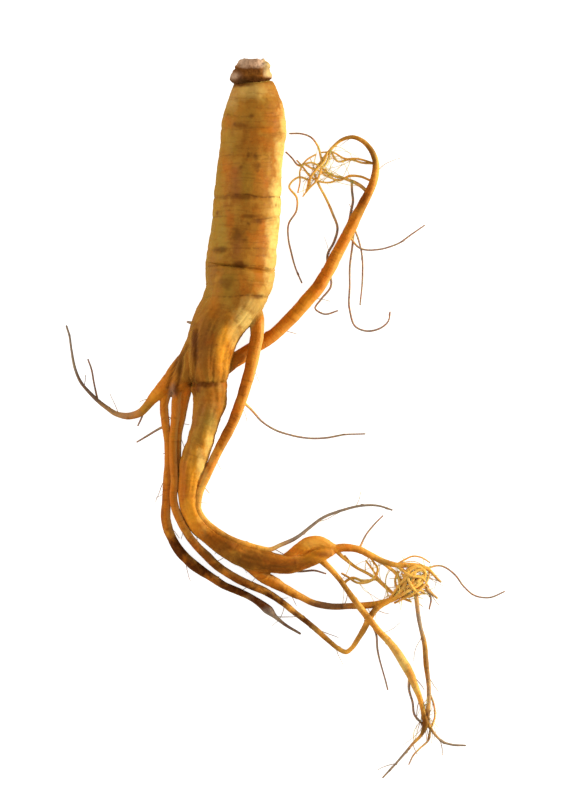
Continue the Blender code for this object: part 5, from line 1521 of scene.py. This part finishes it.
def grain_group():
    """Height of the fine skin grain, and how dull the skin is."""
    tree = bpy.data.node_groups.new("skin grain", "ShaderNodeTree")
    sockets(tree, "INPUT", [(name, "NodeSocketFloat", 0.5) for name in ("Dullest", "Glossiest")])
    sockets(tree, "OUTPUT", [(name, "NodeSocketFloat", None) for name in ("Height", "Roughness")])
    given = tree.nodes.new("NodeGroupInput").outputs
    grain = grain_of(tree)
    across = cloud(tree, stretched(tree, grain, (0.5, 0.5, 3.4)), scale=1.0, detail=4.0)
    pores = cloud(tree, grain, 5.0)
    patches = step_up(tree, cloud(tree, grain, 0.5), 0.3, 0.7)
    rough = add(
        tree, "ShaderNodeMapRange",
        inputs={0: patches, 1: 0.0, 2: 1.0, 3: given["Glossiest"], 4: given["Dullest"]},
    )
    out = tree.nodes.new("NodeGroupOutput").inputs
    tree.links.new(maths(tree, "ADD", across, times(tree, pores, 0.5)), out["Height"])
    tree.links.new(rough.outputs[0], out["Roughness"])
    return tree


def new_material(name, groups, dullest, glossiest, bump, soft):
    """A material with its skin grain, bump and softness, and its node tree and shader."""
    material = bpy.data.materials.new(name)
    material.use_nodes = True
    tree = material.node_tree
    shader = tree.nodes["Principled BSDF"]
    grain = add(
        tree, "ShaderNodeGroup", node_tree=groups["grain"],
        inputs={"Dullest": dullest, "Glossiest": glossiest},
    )
    bumps = add(
        tree, "ShaderNodeBump",
        inputs={"Height": grain.outputs["Height"], "Strength": 1.0, "Distance": bump * MM},
    )
    tree.links.new(grain.outputs["Roughness"], shader.inputs["Roughness"])
    tree.links.new(bumps.outputs["Normal"], shader.inputs["Normal"])
    settings = {
        "Subsurface Weight": soft, "Subsurface Radius": (1.0, 0.4, 0.12), "Subsurface Scale": 1.2 * MM,
        "Specular IOR Level": 0.05, "Sheen Weight": 0.45, "Sheen Roughness": 0.3,
        "Sheen Tint": colour(1.0, 0.74, 0.14),
    }
    for key, value in settings.items():
        shader.inputs[key].default_value = value
    return material, tree, shader


def mottled(tree, groups, colours, contrast=1.0):
    names = ("Middle", "Pale", "Deep", "Orange")
    inputs = {name: colour(*value) for name, value in zip(names, colours)}
    inputs["Contrast"] = contrast
    return add(tree, "ShaderNodeGroup", node_tree=groups["mottled"], inputs=inputs).outputs["Color"]


def lay_marks(tree, groups, made, shader):
    """Lay a skin's patches, creases and scars over its colour, and give it to the shader."""
    marked = add(tree, "ShaderNodeGroup", node_tree=groups["marked"], inputs={"Color": made})
    tree.links.new(marked.outputs["Color"], shader.inputs["Base Color"])


def root_skin(groups):
    """Skin that turns from ochre on the stout roots to orange on the slim ones and pale on rootlets."""
    material, tree, shader = new_material(
        "root skin", groups, dullest=0.62, glossiest=0.42, bump=0.09, soft=0.12,
    )
    girth = mark_of(tree, "girth")
    rootlet, slim = mottled(tree, groups, ROOTLET_SKIN), mottled(tree, groups, SLIM_SKIN)
    made = mix(tree, step_up(tree, girth, *SLIM_GIRTHS), rootlet, slim)
    stout = mottled(tree, groups, STOUT_SKIN)
    made = mix(tree, step_up(tree, girth, *STOUT_GIRTHS), made, stout)
    lay_marks(tree, groups, made, shader)
    return material


def hair_skin(groups):
    """Pale, soft skin that lets light through."""
    material, tree, shader = new_material(
        "hair skin", groups, dullest=0.6, glossiest=0.5, bump=0.02, soft=0.6,
    )
    shader.inputs["Subsurface Scale"].default_value = 2.0 * MM
    lay_marks(tree, groups, mottled(tree, groups, HAIR_SKIN, contrast=0.7), shader)
    return material


def bark_skin(groups):
    """Dark cracked bark on the rhizome stub, its paler cap, and a painted highlight on its right side."""
    material, tree, shader = new_material(
        "rhizome bark", groups, dullest=0.85, glossiest=0.6, bump=0.16, soft=0.0,
    )
    bark, cap = mottled(tree, groups, BARK), mottled(tree, groups, CAP)
    made = mix(tree, mark_of(tree, "scar"), bark, cap)
    # Painted highlight on the stub's right side
    made = mix(tree, mark_of(tree, "pale"), made, colour(*PAINTED_HIGHLIGHT_BARK))
    crack = times(tree, mark_of(tree, "groove"), GROOVE_SHARE)
    made = mix(tree, crack, made, colour(*CRACK_TINT))
    tree.links.new(made, shader.inputs["Base Color"])
    shader.inputs["Sheen Weight"].default_value = 0.1
    return material


def make_floor():
    """A white board. Seen by the camera it is lit up almost to plain white."""
    bpy.ops.mesh.primitive_plane_add(size=FLOOR_SIZE, location=(0.0, 0.0, 0.0))
    floor = bpy.context.object
    floor.name = "floor"
    material = bpy.data.materials.new("white board")
    material.use_nodes = True
    tree = material.node_tree
    shader = tree.nodes["Principled BSDF"]
    shader.inputs["Base Color"].default_value = colour(FLOOR_WHITE, FLOOR_WHITE, FLOOR_WHITE)
    shader.inputs["Roughness"].default_value = 0.9
    shader.inputs["Specular IOR Level"].default_value = 0.1
    shader.inputs["Emission Color"].default_value = colour(1.0, 1.0, 1.0)
    seen = add(tree, "ShaderNodeLightPath").outputs["Is Camera Ray"]
    tree.links.new(times(tree, seen, FLOOR_GLOW), shader.inputs["Emission Strength"])
    floor.data.materials.append(material)


def area_light(name, place, size, power, tint):
    light = bpy.data.lights.new(name, "AREA")
    light.shape = "DISK"
    light.size = size
    light.energy = power
    light.color = tint
    made = bpy.data.objects.new(name, light)
    made.location = place
    made.rotation_euler = (-Vector(place)).to_track_quat("-Z", "Y").to_euler()
    bpy.context.scene.collection.objects.link(made)


def make_light():
    """A strong low window at the right, a weak one at the left, and a dim surround."""
    area_light("right window", *RIGHT_WINDOW)
    area_light("left window", *LEFT_WINDOW)
    world = bpy.data.worlds.new("studio")
    world.use_nodes = True
    tree = world.node_tree
    seen = add(tree, "ShaderNodeLightPath").outputs["Is Camera Ray"]
    strength = maths(tree, "ADD", ROOM_LIGHT, times(tree, seen, ROOM_SEEN))
    background = tree.nodes["Background"]
    background.inputs["Color"].default_value = colour(1.0, 1.0, 1.0)
    tree.links.new(strength, background.inputs["Strength"])
    bpy.context.scene.world = world
    bpy.context.scene.view_settings.view_transform = "Standard"


def make_camera():
    """The camera looks straight down."""
    camera = bpy.data.cameras.new("camera")
    camera.lens = LENS
    camera.sensor_width = SENSOR
    camera.clip_end = CLIP_END
    made = bpy.data.objects.new("camera", camera)
    made.location = (*FRAME_MIDDLE, FOCUS_HEIGHT + FRAME_HEIGHT * LENS / SENSOR)
    bpy.context.scene.collection.objects.link(made)
    bpy.context.scene.camera = made


def build():
    make_camera()
    groups = {"mottled": mottled_group(), "marked": marked_group(), "grain": grain_group()}
    skin, hair = root_skin(groups), hair_skin(groups)
    roots = make_roots(skin)
    make_head(bark_skin(groups))
    make_hairs(roots, skin, hair)
    make_floor()
    make_light()


build()
